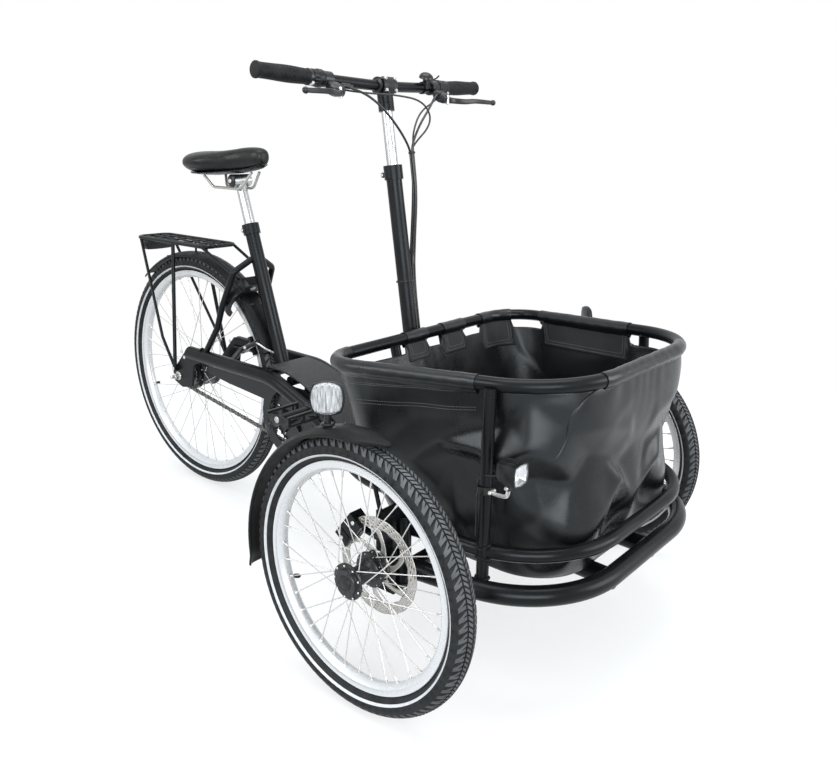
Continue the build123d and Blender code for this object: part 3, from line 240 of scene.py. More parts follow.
class EffectLibrary:
    """Builds each shared node group once and hands it out."""

    def __init__(self) -> None:
        """Starts with no groups built."""
        self.groups: dict[Effect, bpy.types.NodeTree] = {}

    def get(self, effect: Effect) -> bpy.types.NodeTree:
        """The node group of an effect, with inputs Vector and Scale and outputs Mask and Height."""
        if effect not in self.groups:
            self.groups[effect] = self._build(effect)
        return self.groups[effect]

    def _build(self, effect: Effect) -> bpy.types.NodeTree:
        """Makes the group of an effect.

        Args:
            effect: Which effect is made.

        Returns:
            The new group.
        """
        tree = bpy.data.node_groups.new(effect.value, "ShaderNodeTree")
        for name, way, kind in (("Vector", "INPUT", "Vector"), ("Scale", "INPUT", "Float"),
                                ("Mask", "OUTPUT", "Float"), ("Height", "OUTPUT", "Float")):
            tree.interface.new_socket(name, in_out=way, socket_type="NodeSocket" + kind)
        nodes = EffectNodes(tree)
        given = tree.nodes.new("NodeGroupInput").outputs
        scaled = nodes.add("VectorMath", operation="SCALE")
        nodes.feed(scaled, {0: given["Vector"], "Scale": given["Scale"]})
        makers = {Effect.PEEL: nodes.peel, Effect.GRAIN: nodes.grain, Effect.WEAVE: nodes.weave,
                  Effect.BRUSHED: nodes.brushed, Effect.HIDE: nodes.hide,
                  Effect.SPECKLE: nodes.speckle, Effect.PRISM_GLINTS: nodes.ribbed}
        mask, height = makers[effect](scaled.outputs[0])
        nodes.feed(tree.nodes.new("NodeGroupOutput"), {"Mask": mask, "Height": height})
        return tree


EFFECTS = EffectLibrary()


@dataclass(frozen=True)
class Finish:
    """One material: its colours, gloss and the shared effect that varies them.

    scale is how many grains lie in a metre, relief how high they stand, in metres, and slot the
    record's material slot of the pieces that wear it.
    """

    name: str
    slot: str
    colour: Point
    second: Point
    roughness: float
    effect: Effect
    scale: float
    relief: float
    spread: float = 0.1
    metallic: float = 0.0
    coat: float = 0.0
    transmission: float = 0.0
    specular: float = 0.5
    tint: Point = (1.0, 1.0, 1.0)

    def material(self) -> bpy.types.Material:
        """The Blender material, made the first time that it is asked for."""
        return bpy.data.materials.get(self.name) or self._make()

    def _make(self) -> bpy.types.Material:
        """Builds the material's nodes.

        Returns:
            The new material.
        """
        made = bpy.data.materials.new(self.name)
        made.use_nodes = True
        nodes = Nodes(made.node_tree)
        group = nodes.add("Group", node_tree=EFFECTS.get(self.effect))
        nodes.feed(group, {"Scale": self.scale, "Vector": nodes.add("TexCoord").outputs["Object"]})
        mask, half = group.outputs["Mask"], self.spread / 2
        mix = nodes.add("Mix", data_type="RGBA")
        nodes.feed(mix, {"A": (*self.colour, 1), "B": (*self.second, 1), "Factor": mask})
        rough = nodes.add("MapRange", {
            "To Min": self.roughness - half, "To Max": self.roughness + half, "Value": mask})
        bump = nodes.add("Bump", {
            "Distance": self.relief, "Strength": 0.9, "Height": group.outputs["Height"]})
        nodes.feed(made.node_tree.nodes["Principled BSDF"], {
            "Base Color": mix.outputs["Result"], "Roughness": rough.outputs["Result"],
            "Normal": bump.outputs["Normal"], "Metallic": self.metallic, "Coat Weight": self.coat,
            "Coat Roughness": 0.12, "Transmission Weight": self.transmission,
            "Specular IOR Level": self.specular, "Specular Tint": (*self.tint, 1)})
        return made


BLACK_COAT = Finish(
    "black_powder_coat", "frame_paint", (0.003, 0.0034, 0.004), (0.006, 0.0066, 0.0075), 0.3,
    Effect.PEEL, 900, 0.00006, spread=0.14, specular=0.2, tint=(0.88, 0.95, 1.0))
TARPAULIN = Finish(
    "black_tarpaulin", "tarpaulin", (0.0035, 0.0037, 0.004), (0.007, 0.0074, 0.008), 0.31,
    Effect.WEAVE, 420, 0.00005, spread=0.12, specular=0.42, tint=(0.88, 0.95, 1.0))
WEBBING = Finish(
    "black_webbing", "tarpaulin", (0.014, 0.0145, 0.0155), (0.022, 0.023, 0.025), 0.5,
    Effect.WEAVE, 800, 0.00009, specular=0.25)
THREAD = Finish(
    "grey_thread", "tarpaulin", (0.16, 0.16, 0.165), (0.22, 0.22, 0.22), 0.8, Effect.WEAVE, 3000,
    0.00003)
RUBBER = Finish(
    "tyre_rubber", "tyre", (0.012, 0.0128, 0.014), (0.028, 0.029, 0.031), 0.55, Effect.GRAIN, 1500,
    0.0001, spread=0.2, specular=0.14)
# The tread blocks' tops are lighter than the grooves and sidewalls: painted light on the tread, painted shade
# in its grooves.
LIT_TREAD_RUBBER = Finish(
    "tread_painted_light", "tyre", (0.058, 0.062, 0.066), (0.11, 0.115, 0.12), 0.6, Effect.GRAIN, 1500,
    0.0001, spread=0.2, specular=0.3)
STRIPE = Finish(
    "reflective_stripe", "tyre", (0.55, 0.57, 0.58), (0.66, 0.67, 0.68), 0.4, Effect.GRAIN, 2500,
    0.00003)
RIM_METAL = Finish(
    "bright_rim", "bright", (0.60, 0.61, 0.62), (0.70, 0.71, 0.72), 0.3, Effect.BRUSHED, 1600,
    0.00001, spread=0.12, metallic=0.35)
STAINLESS = Finish(
    "stainless_wire", "steel", (0.56, 0.55, 0.53), (0.70, 0.69, 0.67), 0.24, Effect.BRUSHED, 3000,
    0.00001, metallic=0.6)
POLISHED = Finish(
    "polished_post", "silver", (0.44, 0.45, 0.46), (0.54, 0.55, 0.56), 0.26, Effect.BRUSHED, 1800,
    0.00001, metallic=1.0)
STEEL = Finish(
    "cut_steel", "steel", (0.40, 0.385, 0.36), (0.52, 0.505, 0.48), 0.34, Effect.BRUSHED, 2000,
    0.00002, metallic=0.6)
DARK_METAL = Finish(
    "dark_anodised", "black_metal", (0.018, 0.019, 0.021), (0.032, 0.033, 0.036), 0.3,
    Effect.GRAIN, 2200, 0.00002, metallic=0.5)
PLASTIC = Finish(
    "moulded_plastic", "black_plastic", (0.006, 0.0064, 0.0068), (0.012, 0.0125, 0.0132), 0.36,
    Effect.GRAIN, 1800, 0.00005, spread=0.16, specular=0.3, tint=(0.88, 0.97, 0.97))
GUARD_PLASTIC = Finish(
    "mudguard_plastic", "black_plastic", (0.004, 0.0042, 0.0046), (0.008, 0.0085, 0.0092), 0.4,
    Effect.HIDE, 900, 0.00008, spread=0.14, specular=0.17)
GRIP_RUBBER = Finish(
    "grip_rubber", "rubber", (0.01, 0.0105, 0.0115), (0.02, 0.0205, 0.022), 0.55, Effect.HIDE,
    1100, 0.00016, specular=0.14)
SADDLE_COVER = Finish(
    "saddle_skin", "saddle_cover", (0.0035, 0.0038, 0.0042), (0.008, 0.0085, 0.0092), 0.38,
    Effect.HIDE, 1500, 0.00009, spread=0.1, coat=0.04, specular=0.26)
DECK_GRIT = Finish(
    "deck_grit", "deck", (0.016, 0.0165, 0.018), (0.3, 0.3, 0.3), 0.66, Effect.SPECKLE, 650, 0.0002)
CABLE_SKIN = Finish(
    "cable_skin", "cable", (0.012, 0.0125, 0.0135), (0.02, 0.021, 0.022), 0.34, Effect.GRAIN, 2600,
    0.00002)
# Its dark and pale tones, mixed in upright streaks, are painted reflection: the prisms' glints and dark facets.
WHITE_PRISM = Finish(
    "white_prism", "reflector", (0.17, 0.18, 0.19), (0.7, 0.71, 0.72), 0.2, Effect.PRISM_GLINTS, 520,
    0.0004, coat=0.5)
CLEAR_LENS = Finish(
    "clear_lens", "lens", (0.9, 0.92, 0.94), (0.96, 0.97, 0.98), 0.06, Effect.GRAIN, 300, 0.00003,
    spread=0.02, transmission=0.9)
RED_LENS = Finish(
    "red_lens", "lens", (0.28, 0.008, 0.008), (0.36, 0.014, 0.012), 0.18, Effect.HIDE, 600, 0.0003,
    coat=0.6)
MIRROR_BOWL = Finish(
    "lamp_bowl", "bright", (0.8, 0.81, 0.82), (0.9, 0.9, 0.91), 0.1, Effect.GRAIN, 700, 0.00002,
    metallic=1.0)
CHAIN_STEEL = Finish(
    "oiled_chain", "steel", (0.12, 0.115, 0.11), (0.2, 0.19, 0.18), 0.35, Effect.GRAIN, 2500,
    0.00003, metallic=0.9)
LIGHT_PAD = Finish(
    "brake_pad", "rubber", (0.03, 0.03, 0.032), (0.045, 0.045, 0.047), 0.75, Effect.GRAIN, 2000,
    0.00008)


# ---- shapes on grids --------------------------------------------------------------------
def real(values: Sequence | Array) -> Array:
    """Values as an array of real numbers."""
    return np.asarray(values, dtype=float)


def unit(vectors: Array) -> Array:
    """Vectors scaled to length 1 along their last axis."""
    return vectors / np.maximum(np.linalg.norm(vectors, axis=-1, keepdims=True), 1e-12)


def smooth_step(value: Array | float, low: float, high: float) -> Array:
    """0 below low, 1 above high and a cubic ease between: 3t^2 - 2t^3."""
    t = np.clip((real(value) - low) / (high - low), 0, 1)
    return t * t * (3 - 2 * t)


def arc(centre: tuple[float, float], radius: float, start: float, end: float, count: int) -> Array:
    """Points of a circular arc, centre + radius (cos, sin), between two angles in degrees."""
    turn = np.radians(np.linspace(start, end, count))
    return np.stack([centre[0] + radius * np.cos(turn), centre[1] + radius * np.sin(turn)], -1)


def resample(route: Array, step: float, closed: bool = False) -> Array:
    """The same route with points evenly spaced by arc length.

    Args:
        route: Points of the route.
        step: About how far apart the new points lie.
        closed: Whether the route is a loop.

    Returns:
        The new points; a loop's first point isn't repeated.
    """
    points = np.concatenate([route, route[:1]]) if closed else route
    length = np.concatenate([[0], np.cumsum(np.linalg.norm(np.diff(points, axis=0), axis=1))])
    count = max(2, int(round(length[-1] / step)))
    at = np.linspace(0, length[-1], count + 1)
    at = at[:-1] if closed else at
    return np.stack([np.interp(at, length, points[:, k]) for k in range(points.shape[1])], -1)


def eased(points: Sequence[Vec], per_span: int = 12) -> Array:
    """A Catmull-Rom curve: the cubic whose slope at each point is half the chord across it.

    Args:
        points: The points that it passes.
        per_span: Points from each to the next.

    Returns:
        The points of the curve.
    """
    p = real(points)
    p = np.concatenate([2 * p[:1] - p[1:2], p, 2 * p[-1:] - p[-2:-1]])
    t = np.linspace(0, 1, per_span, endpoint=False)[None, :, None]
    a, b, c, d = (p[k:len(p) - 3 + k][:, None, :] for k in range(4))
    span = 0.5 * (
        2 * b + (c - a) * t + (2 * a - 5 * b + 4 * c - d) * t ** 2 + (3 * b - a - 3 * c + d)
        * t ** 3)
    return np.concatenate([span.reshape(-1, p.shape[1]), p[-2:-1]])


def frames(route: Array, up: Vec, closed: bool = False) -> tuple[Array, Array]:
    """Two unit vectors across a route at each point: along x up, and the one square to it.

    Args:
        route: Points of the route.
        up: A direction that the route never follows.
        closed: Whether the route is a loop.

    Returns:
        The sideways and the upward vectors.
    """
    if closed:
        along = np.roll(route, -1, axis=0) - np.roll(route, 1, axis=0)
    else:
        along = np.gradient(route, axis=0)
    along = unit(along)
    side = unit(np.cross(along, real(up)))
    return side, np.cross(side, along)


def sweep(route: Array, section: Array, up: Vec = (0, 0, 1), closed: bool = False,
          scale: Array | None = None) -> Array:
    """A section carried along a route: point + side * first + top * second.

    Args:
        route: Points of the route.
        section: Points (across, up) of the section.
        up: A direction that the route never follows.
        closed: Whether the route is a loop.
        scale: How large the section is at each point, or None.

    Returns:
        A grid of points, route by section.
    """
    side, top = frames(route, up, closed)
    size = np.ones(len(route)) if scale is None else real(scale)
    across = side[:, None, :] * section[None, :, :1] + top[:, None, :] * section[None, :, 1:2]
    return route[:, None, :] + across * size[:, None, None]


def round_section(radius: float, sides: int = 20) -> Array:
    """Points round a circle."""
    turn = np.linspace(0, TAU, sides, endpoint=False)
    return radius * np.stack([np.cos(turn), np.sin(turn)], -1)


def box_section(wide: float, high: float, corner: float, per_corner: int = 5) -> Array:
    """Points round a rectangle with rounded corners.

    Args:
        wide: Its width.
        high: Its height.
        corner: Its corners' radius.
        per_corner: Points round each corner.

    Returns:
        Points (across, up).
    """
    x, z = wide / 2 - corner, high / 2 - corner
    ends = ((x, z, 0), (-x, z, 90), (-x, -z, 180), (x, -z, 270))
    return np.concatenate([arc((cx, cz), corner, a, a + 90, per_corner) for cx, cz, a in ends])


def ellipsoid(centre: Vec, radii: Vec, rows: int = 14, columns: int = 24) -> Array:
    """A closed egg: centre + radii (cos a cos b, cos a sin b, sin a).

    Args:
        centre: Its middle.
        radii: Its three radii.
        rows: Points from pole to pole.
        columns: Points round it.

    Returns:
        A grid of points.
    """
    a = np.linspace(-math.pi / 2, math.pi / 2, rows)[:, None]
    b = np.linspace(0, TAU, columns, endpoint=False)[None, :]
    shape = np.stack(
        [np.cos(a) * np.cos(b), np.cos(a) * np.sin(b), np.sin(a) * np.ones_like(b)], -1)
    return real(centre) + shape * real(radii)


def lathe(profile: Sequence, centre: Vec, axis: Vec = (0, 1, 0), segments: int = 96,
          zero: Vec = (1, 0, 0)) -> Array:
    """A profile (radius, along) turned about an axis: centre + along * axis + radius (cos, sin).

    Args:
        profile: Points of radius and place along the axis.
        centre: A point of the axis.
        axis: The axis.
        segments: Steps round the turn.
        zero: The direction of angle 0.

    Returns:
        A grid of points, turn by profile.
    """
    way = unit(real(axis))
    first = unit(real(zero) - way * (real(zero) @ way))
    at = np.radians(np.linspace(0, 360, segments, endpoint=False))[:, None, None]
    spoke = first * np.cos(at) + np.cross(way, first) * np.sin(at)
    profile = real(profile)
    return real(centre) + profile[None, :, :1] * spoke + profile[None, :, 1:2] * way


def capped(grid: Array) -> Array:
    """A grid whose first and last rows are closed to their middles.

    Args:
        grid: Points, rows by columns.

    Returns:
        The grid with a row more at each end.
    """
    first = np.broadcast_to(grid[0].mean(axis=0), grid[:1].shape)
    last = np.broadcast_to(grid[-1].mean(axis=0), grid[:1].shape)
    return np.concatenate([first, grid, last])


def rod_grid(start: Vec, end: Vec, radius: float, sides: int = 16, bevel: float = 0.0) -> Array:
    """A closed round bar between two points, with bevelled ends.

    Args:
        start: One end.
        end: The other end.
        radius: Its radius.
        sides: Points round it.
        bevel: The ends' bevel.

    Returns:
        A grid of points, turn by profile.
    """
    a, b = real(start), real(end)
    length = float(np.linalg.norm(b - a))
    cut = min(bevel, radius * 0.5, length * 0.4)
    profile = np.array(
        [(0, 0), (radius - cut, 0), (radius, cut), (radius, length - cut), (radius - cut, length),
            (0, length)])
    zero = (1, 0, 0) if abs(b[0] - a[0]) < 0.9 * length else (0, 0, 1)
    return lathe(profile, a, b - a, sides, zero=zero)


class Shell:
    """Gathers grids of points and makes one mesh of them."""

    def __init__(self) -> None:
        """Starts empty."""
        self.points: list[Array] = []
        self.faces: list[Array] = []
        self.coords: list[Array] = []
        self.marks: list[Array] = []
        self.total = 0

    def grid(
            self, grid: Array, wrap_u: bool = False, wrap_v: bool = False, keep: Array
            | None = None, coords: Array | None = None, marked: Array | None = None) -> "Shell":
        """Adds a grid of points with a quad in each cell.

        Args:
            grid: Points, rows by columns by 3.
            wrap_u: Whether the last row joins the first.
            wrap_v: Whether the last column joins the first.
            keep: Which cells get a face, or None for all.
            coords: Two texture coordinates for each point, or None.
            marked: Which cells take the piece's second finish, or None for none.

        Returns:
            This shell.
        """
        rows, columns = grid.shape[:2]
        index = np.arange(rows * columns).reshape(rows, columns) + self.total
        if wrap_u:
            index = np.concatenate([index, index[:1]])
        if wrap_v:
            index = np.concatenate([index, index[:, :1]], axis=1)
        quads = np.stack([index[:-1, :-1], index[1:, :-1], index[1:, 1:], index[:-1, 1:]], -1)
        quads = quads.reshape(-1, 4) if keep is None else quads[keep]
        if coords is None:
            coords = np.stack(
                np.meshgrid(np.linspace(0, 1, rows), np.linspace(0, 1, columns), indexing="ij"), -1)
        self.points.append(grid.reshape(-1, 3))
        self.coords.append(coords.reshape(-1, 2))
        self.faces.append(quads)
        self.marks.append(
            np.zeros(len(quads), dtype=np.int32) if marked is None
            else marked.ravel().astype(np.int32))
        self.total += rows * columns
        return self

    def turned(self, profile: Sequence, centre: Vec, axis: Vec = (0, 1, 0), segments: int = 96,
               zero: Vec = (1, 0, 0), move: Array | None = None) -> "Shell":
        """Adds a whole turn of a profile about an axis."""
        grid = lathe(profile, centre, axis, segments, zero)
        return self.grid(grid if move is None else grid @ move[:, :3].T + move[:, 3], wrap_u=True)

    def rod(
            self, start: Vec, end: Vec, radius: float, sides: int = 16,
            bevel: float = 0.0) -> "Shell":
        """Adds a closed round bar."""
        return self.grid(rod_grid(start, end, radius, sides, bevel), wrap_u=True)

    def pin(self, centre: Array, half: float, radius: float, sides: int, bevel: float) -> "Shell":
        """Adds a closed round bar from side to side, half its length each way."""
        return self.rod(centre - vec(0, half, 0), centre + vec(0, half, 0), radius, sides, bevel)

    def tube(self, route: Array, section: Array, up: Vec = (0, 0, 1), closed: bool = False,
             scale: Array | None = None) -> "Shell":
        """Adds a swept section, with its ends closed unless it is a loop."""
        grid = sweep(route, section, up, closed, scale)
        return self.grid(grid if closed else capped(grid), wrap_u=closed, wrap_v=True)

    def bar(self, start: Array, end: Array, section: Array, count: int = 3, up: Vec = (0, 0, 1),
            scale: Array | None = None) -> "Shell":
        """Adds a straight bar of any section."""
        return self.tube(np.linspace(start, end, count), section, up, scale=scale)

    def egg(self, centre: Vec, radii: Vec, rows: int = 14, columns: int = 24) -> "Shell":
        """Adds a closed egg."""
        return self.grid(ellipsoid(centre, radii, rows, columns), wrap_v=True)

    def piece(
            self, name: str, finish: Finish, body: str, replaces: Sequence[str] = (), slot: str
            | None = None, sharp: float = 38.0, second: Finish | None = None) -> bpy.types.Object:
        """Makes the mesh, dresses it and puts it on its body.

        Args:
            name: The piece's name.
            finish: Its finish.
            body: The CAD body that it rides on.
            replaces: CAD nodes that it stands for.
            slot: Not used.
            sharp: The angle in degrees past which an edge is sharp.
            second: The finish of the marked cells.

        Returns:
            The new object.
        """
        mesh = bpy.data.meshes.new(name)
        for each in (finish, second) if second else (finish,):
            mesh.materials.append(each.material())
        points = np.concatenate(self.points).astype(np.float32)
        faces = np.concatenate(self.faces).astype(np.int32)
        mesh.vertices.add(len(points))
        mesh.vertices.foreach_set("co", points.ravel())
        mesh.loops.add(faces.size)
        mesh.loops.foreach_set("vertex_index", faces.ravel())
        mesh.polygons.add(len(faces))
        mesh.polygons.foreach_set("loop_start", np.arange(0, faces.size, 4, dtype=np.int32))
        mesh.uv_layers.new(name="uv").data.foreach_set(
            "uv", np.concatenate(self.coords)[faces.ravel()].astype(np.float32).ravel())
        mesh.polygons.foreach_set("material_index", np.concatenate(self.marks))
        mesh.update(calc_edges=True)
        made = bmesh.new()
        made.from_mesh(mesh)
        bmesh.ops.remove_doubles(made, verts=made.verts, dist=1e-6)
        bmesh.ops.dissolve_degenerate(made, edges=made.edges, dist=1e-7)
        bmesh.ops.recalc_face_normals(made, faces=made.faces)
        made.to_mesh(mesh)
        made.free()
        mesh.shade_smooth()
        mesh.set_sharp_from_angle(angle=math.radians(sharp))
        return dress(bpy.data.objects.new(name, mesh), finish, body, replaces)


def dress(thing: bpy.types.Object, finish: Finish, body: str, replaces: Sequence[str] = ()) -> bpy.types.Object:
    """Gives an object its finish, its body and the CAD nodes that it stands for.

    Args:
        thing: The object.
        finish: Its finish.
        body: The CAD body that it rides on.
        replaces: CAD nodes that it stands for.

    Returns:
        The same object.
    """
    bpy.context.scene.collection.objects.link(thing)
    if not thing.data.materials:
        thing.data.materials.append(finish.material())
    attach(thing, body)
    if replaces:
        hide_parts(*replaces)
    LOG.info(
        "%s rides on %s with %d points", thing.name, body, len(getattr(thing.data, "vertices", [])))
    return thing


def thicken(
        skin: bpy.types.Object, thickness: float, offset: float = 0.0, even: bool = False) -> None:
    """Gives an open skin its thickness.

    Args:
        skin: The object.
        thickness: How thick it becomes.
        offset: -1 to grow inwards, 0 to grow both ways.
        even: Whether normals are worked out carefully, for a folded skin.
    """
    solid = skin.modifiers.new("wall", "SOLIDIFY")
    solid.thickness = thickness
    solid.offset = offset
    solid.use_quality_normals = even


def turns(count: int, centre: Vec, axis: Vec = (0, 1, 0), start: float = 0.0) -> Array:
    """Matrices that set a shape made at the origin round an axis, evenly spaced.

    Args:
        count: How many.
        centre: Where the origin goes.
        axis: The axis.
        start: The first angle in degrees.

    Returns:
        An array of 3 by 4 matrices.
    """
    made = []
    for k in range(count):
        spin = np.array(Matrix.Rotation(math.radians(start + 360 * k / count), 3, Vector(axis)))
        made.append(np.concatenate([spin, real(centre)[:, None]], axis=1))
    return np.array(made)


# ---- wheels -----------------------------------------------------------------------------
@dataclass
class Wheel:
    """A spoked wheel: treaded tyre with a reflective line, box rim, nipples and valve."""

    label: str
    body: str
    centre: Array
    tyre_r: float
    rim_r: float
    out: float
    hub_flange_r: float
    tyre_wide: float = 0.047
    rim_wide: float = 0.026
    rim_deep: float = 0.020
    tread_pitch: float = 0.0094
    groove_deep: float = 0.0025
    spokes: int = 36

    def section(self, angle: Array, lift: Array | float = 0.0) -> Array:
        """The tyre's section: a circle of half the tyre's width whose feet draw in to the rim.

        Args:
            angle: Angles from the crown, in radians, positive towards +Y.
            lift: How far the surface stands out along its own normal.

        Returns:
            Points (radius, across).
        """
        half = self.tyre_wide / 2
        size = half + np.asarray(lift)
        pinch = 1 - 0.3 * smooth_step(np.abs(angle), math.radians(95), math.radians(139))
        return np.stack(
            [self.tyre_r - half + size * np.cos(angle), size * np.sin(angle) * pinch], -1)

    def tyre(self) -> None:
        """The tyre: land blocks between grooves that run out from the crown in a herringbone.

        The grid's columns lean with the grooves, so that a groove is a column sunk by its depth:
        arc = place + lean * |t| out to the shoulder line, and back again beyond it.
        """
        pitches = int(round(TAU * self.tyre_r / self.tread_pitch / 2)) * 2
        column = np.array([0.0, 0.20, 0.29, 0.60, 0.91])
        sunk = np.array([1.0, 1.0, 0.0, 0.0, 0.0])
        place_u = (np.arange(pitches)[:, None] + column[None, :]).ravel() / pitches * TAU
        depth_u = np.tile(sunk, pitches)
        t = np.array([0, 1.0, 2.2, 6, 10.2, 10.9, 12.1, 12.8, 17, 21.5, 25.2, 26.4]) / 1000
        half = self.tyre_wide / 2
        tread = t / half
        wall = np.radians(np.array([68, 75, 84, 94, 104, 114, 122, 129, 134, 139]))
        row = np.concatenate([tread, wall])
        sink_row = np.concatenate(
            [[0.25, 0.3, 1, 1, 1, 1, 1, 1, 1, 1, 0.8, 0], np.zeros(len(wall))])
        ring_row = np.concatenate(
            [[0.75, 0.7, 0, 0, 0, 0.9, 0.9, 0, 0, 0, 0, 0], np.zeros(len(wall))])
        angle = np.concatenate([-row[::-1], row[1:]])
        sink = np.concatenate([sink_row[::-1], sink_row[1:]])
        ring = np.concatenate([ring_row[::-1], ring_row[1:]])
        reach = np.abs(angle) * half
        lean = np.where(reach < 0.0115, 0.95 * reach, 0.95 * 0.0115 - 0.8 * (reach - 0.0115))
        lean = np.where(reach > 0.0264, 0.95 * 0.0115 - 0.8 * 0.0149, lean)
        paired = np.repeat(
            np.where(np.arange(pitches) % 2, 0.36, -0.36), len(column)) * self.tread_pitch
        lean = lean[None, :] + paired[:, None] * smooth_step(reach, 0.0115, 0.0264)[None, :]
        drop = self.groove_deep * np.maximum(depth_u[:, None] * sink[None, :], ring[None, :])
        rib = 0.0003 * (np.abs(np.degrees(np.abs(angle)) - 122) < 6)
        lift = rib[None, :] - drop - 0.0002
        radius_across = self.section(np.broadcast_to(angle, lift.shape), lift)
        turn = place_u[:, None] + lean / self.tyre_r
        grid = np.stack([radius_across[..., 0] * np.cos(turn), radius_across[..., 1],
                         radius_across[..., 0] * np.sin(turn)], -1) + self.centre
        land = (
            depth_u[:, None] + np.roll(depth_u, -1)[:, None] == 0) & (ring[None, :-1]
            + ring[None, 1:] < 0.1) & (np.maximum(reach[:-1], reach[1:])[None, :] < 0.0265)
        # The land cells take the lighter rubber: painted light on the blocks' tops, with the grooves left dark
        # as painted shade.
        shell = Shell().grid(grid, wrap_u=True, marked=land)
        bead = vec(139, 134, 129) * math.pi / 180
        inner = self.section(np.concatenate([-bead, bead[::-1]]))
        inner[:, 0] -= np.array([0, 0.0015, 0.003, 0.003, 0.0015, 0])
        shell.turned(inner, self.centre, segments=96, axis=(0, 1, 0))
        shell.piece(f"{self.label}_tread_tyre", RUBBER, self.body, [self.tyre_node], sharp=50,
                    second=LIT_TREAD_RUBBER)

    @property
    def tyre_node(self) -> str:
        """The CAD tyre's name."""
        return self._node("tyre")

    def _node(self, what: str) -> str:
        """A CAD node of this wheel: front ones carry their side's name."""
        first, _, side = self.label.partition("_")
        return f"{first}_{what}_{side}" if side else f"{first}_{what}"

    def stripe(self) -> None:
        """The reflective line low on both sidewalls, proud of the rubber by a hair."""
        shell = Shell()
        for side in (-1, 1):
            angle = side * np.radians([101.0, 102, 106, 110.5, 111.5])
            lift = np.array([0.0001, 0.0004, 0.0005, 0.0004, 0.0001])
            shell.turned(self.section(angle, lift), self.centre, segments=180)
        shell.piece(f"{self.label}_reflective_line", STRIPE, self.body)

    def rim(self) -> None:
        """The box rim: rolled hooks, flat brake walls, a shallow waist and a rounded well."""
        half, r = self.rim_wide / 2, self.rim_r
        low = r - self.rim_deep
        side = [
            (r - 0.009, half - 0.0022), (r - 0.0012, half - 0.0022), (r, half - 0.0016),
            (r, half - 0.0006), (r - 0.0008, half), (r - 0.0016, half),
            (r - 0.0022, half - 0.0003), (r - 0.0108, half - 0.0003), (r - 0.0114, half),
            (r - 0.0128, half - 0.0002), (r - 0.0155, half - 0.0022),
            (low + 0.0022, half - 0.0056), (low + 0.0007, half - 0.0082), (low, half - 0.0105)]
        profile = np.array(side + [(a, -b) for a, b in reversed(side)] + [side[0]])
        Shell().turned(profile, self.centre, segments=240).piece(
            f"{self.label}_box_rim", RIM_METAL, self.body, [self._node("rim")], sharp=28)

    def nipples(self) -> None:
        """Spoke nipples: a collar at the rim and a slim barrel over each spoke's end."""
        low = self.rim_r - self.rim_deep
        shell = Shell()
        collar = mm(
            (0, 1), (3.1, 1), (3.3, -0.6), (2.6, -1.4), (1.9, -1.8), (1.7, -11.5), (1.2, -12.2),
            (0, -12.2))
        ends = self.spoke_ends()
        for tip, root in zip(*ends):
            way = unit(tip - root)
            foot = self.centre + unit((tip - self.centre) * vec(1, 0, 1)) * low
            foot[1] = tip[1]
            shell.turned(collar, foot, way, 10, zero=(0, 1, 0))
        shell.piece(f"{self.label}_nipples", STAINLESS, self.body)

    def spoke_ends(self) -> tuple[Array, Array]:
        """Each spoke's tip at the rim and root at the hub, laced as the CAD spokes are.

        Returns:
            The tips and the roots.
        """
        per_side = self.spokes // 2
        step = 360.0 / per_side
        k = np.arange(per_side)
        lead = np.where(k % 2 == 0, 1.0, -1.0)
        lean = -self.out * lead
        tips, roots = [], []
        first, second = self.flanges
        for flange, turn in ((first, 0.0), (second, step / 2)):
            hub_at = np.radians(turn + k * step)
            rim_at = hub_at + lead * math.radians(self.crossing * step)
            hole, end = self.hub_flange_r - 0.004, self.rim_r - self.rim_deep - 0.0004
            roots.append(
                np.stack([hole * np.cos(hub_at), flange + lean * 0.0017, hole * np.sin(hub_at)],
                    -1))
            tips.append(
                np.stack([end * np.cos(rim_at), lean * 0.0009 + math.copysign(0.0015, flange),
                    end * np.sin(rim_at)], -1))
        return np.concatenate(tips) + self.centre, np.concatenate(roots) + self.centre

    @property
    def flanges(self) -> tuple[float, float]:
        """Places of the two flanges along the axle, the one laced from angle 0 first."""
        return (-0.027, 0.027)

    @property
    def crossing(self) -> float:
        """How many spoke steps a spoke leads or trails."""
        return 3.0

    def spoke_heads(self) -> None:
        """The bent ends of the spokes, through the flanges and ending in a button."""
        shell = Shell()
        button = mm((0, 1.2), (1.2, 1.1), (2, 0.4), (2, 0), (1, -0.2), (1, -4.2), (0, -4.2))
        for root in self.spoke_ends()[1]:
            out = math.copysign(1.0, root[1] - self.centre[1])
            shell.turned(button, root + vec(0, out * 0.0021, 0), (0, out, 0), 8)
        shell.piece(f"{self.label}_spoke_heads", STAINLESS, self.body)

    def valve(self, angle: float) -> None:
        """The inner tube's valve: a steel stem with its nut and a black cap.

        Args:
            angle: Where it stands round the rim, in degrees from the front towards the top.
        """
        at = math.radians(angle)
        way = -vec(math.cos(at), 0, math.sin(at))
        start = self.centre - way * (self.rim_r - self.rim_deep + 0.001)
        Shell().turned(
            mm((0, 0), (4.6, 0), (4.6, 2.5), (3, 3), (3, 16), (0, 16)), start, way, 14,
            zero=(0, 1, 0)).piece(f"{self.label}_valve_stem", STAINLESS, self.body)
        Shell().turned(
            mm((0, 16), (4.2, 16), (4.4, 18), (4.2, 26), (3.2, 29), (0, 30)), start, way, 14,
            zero=(0, 1, 0)).piece(f"{self.label}_valve_cap", PLASTIC, self.body)

    def build(self) -> None:
        """Makes the parts that every wheel has."""
        self.tyre()
        self.stripe()
        self.rim()
        self.nipples()
        self.spoke_heads()
        self.valve(200.0)


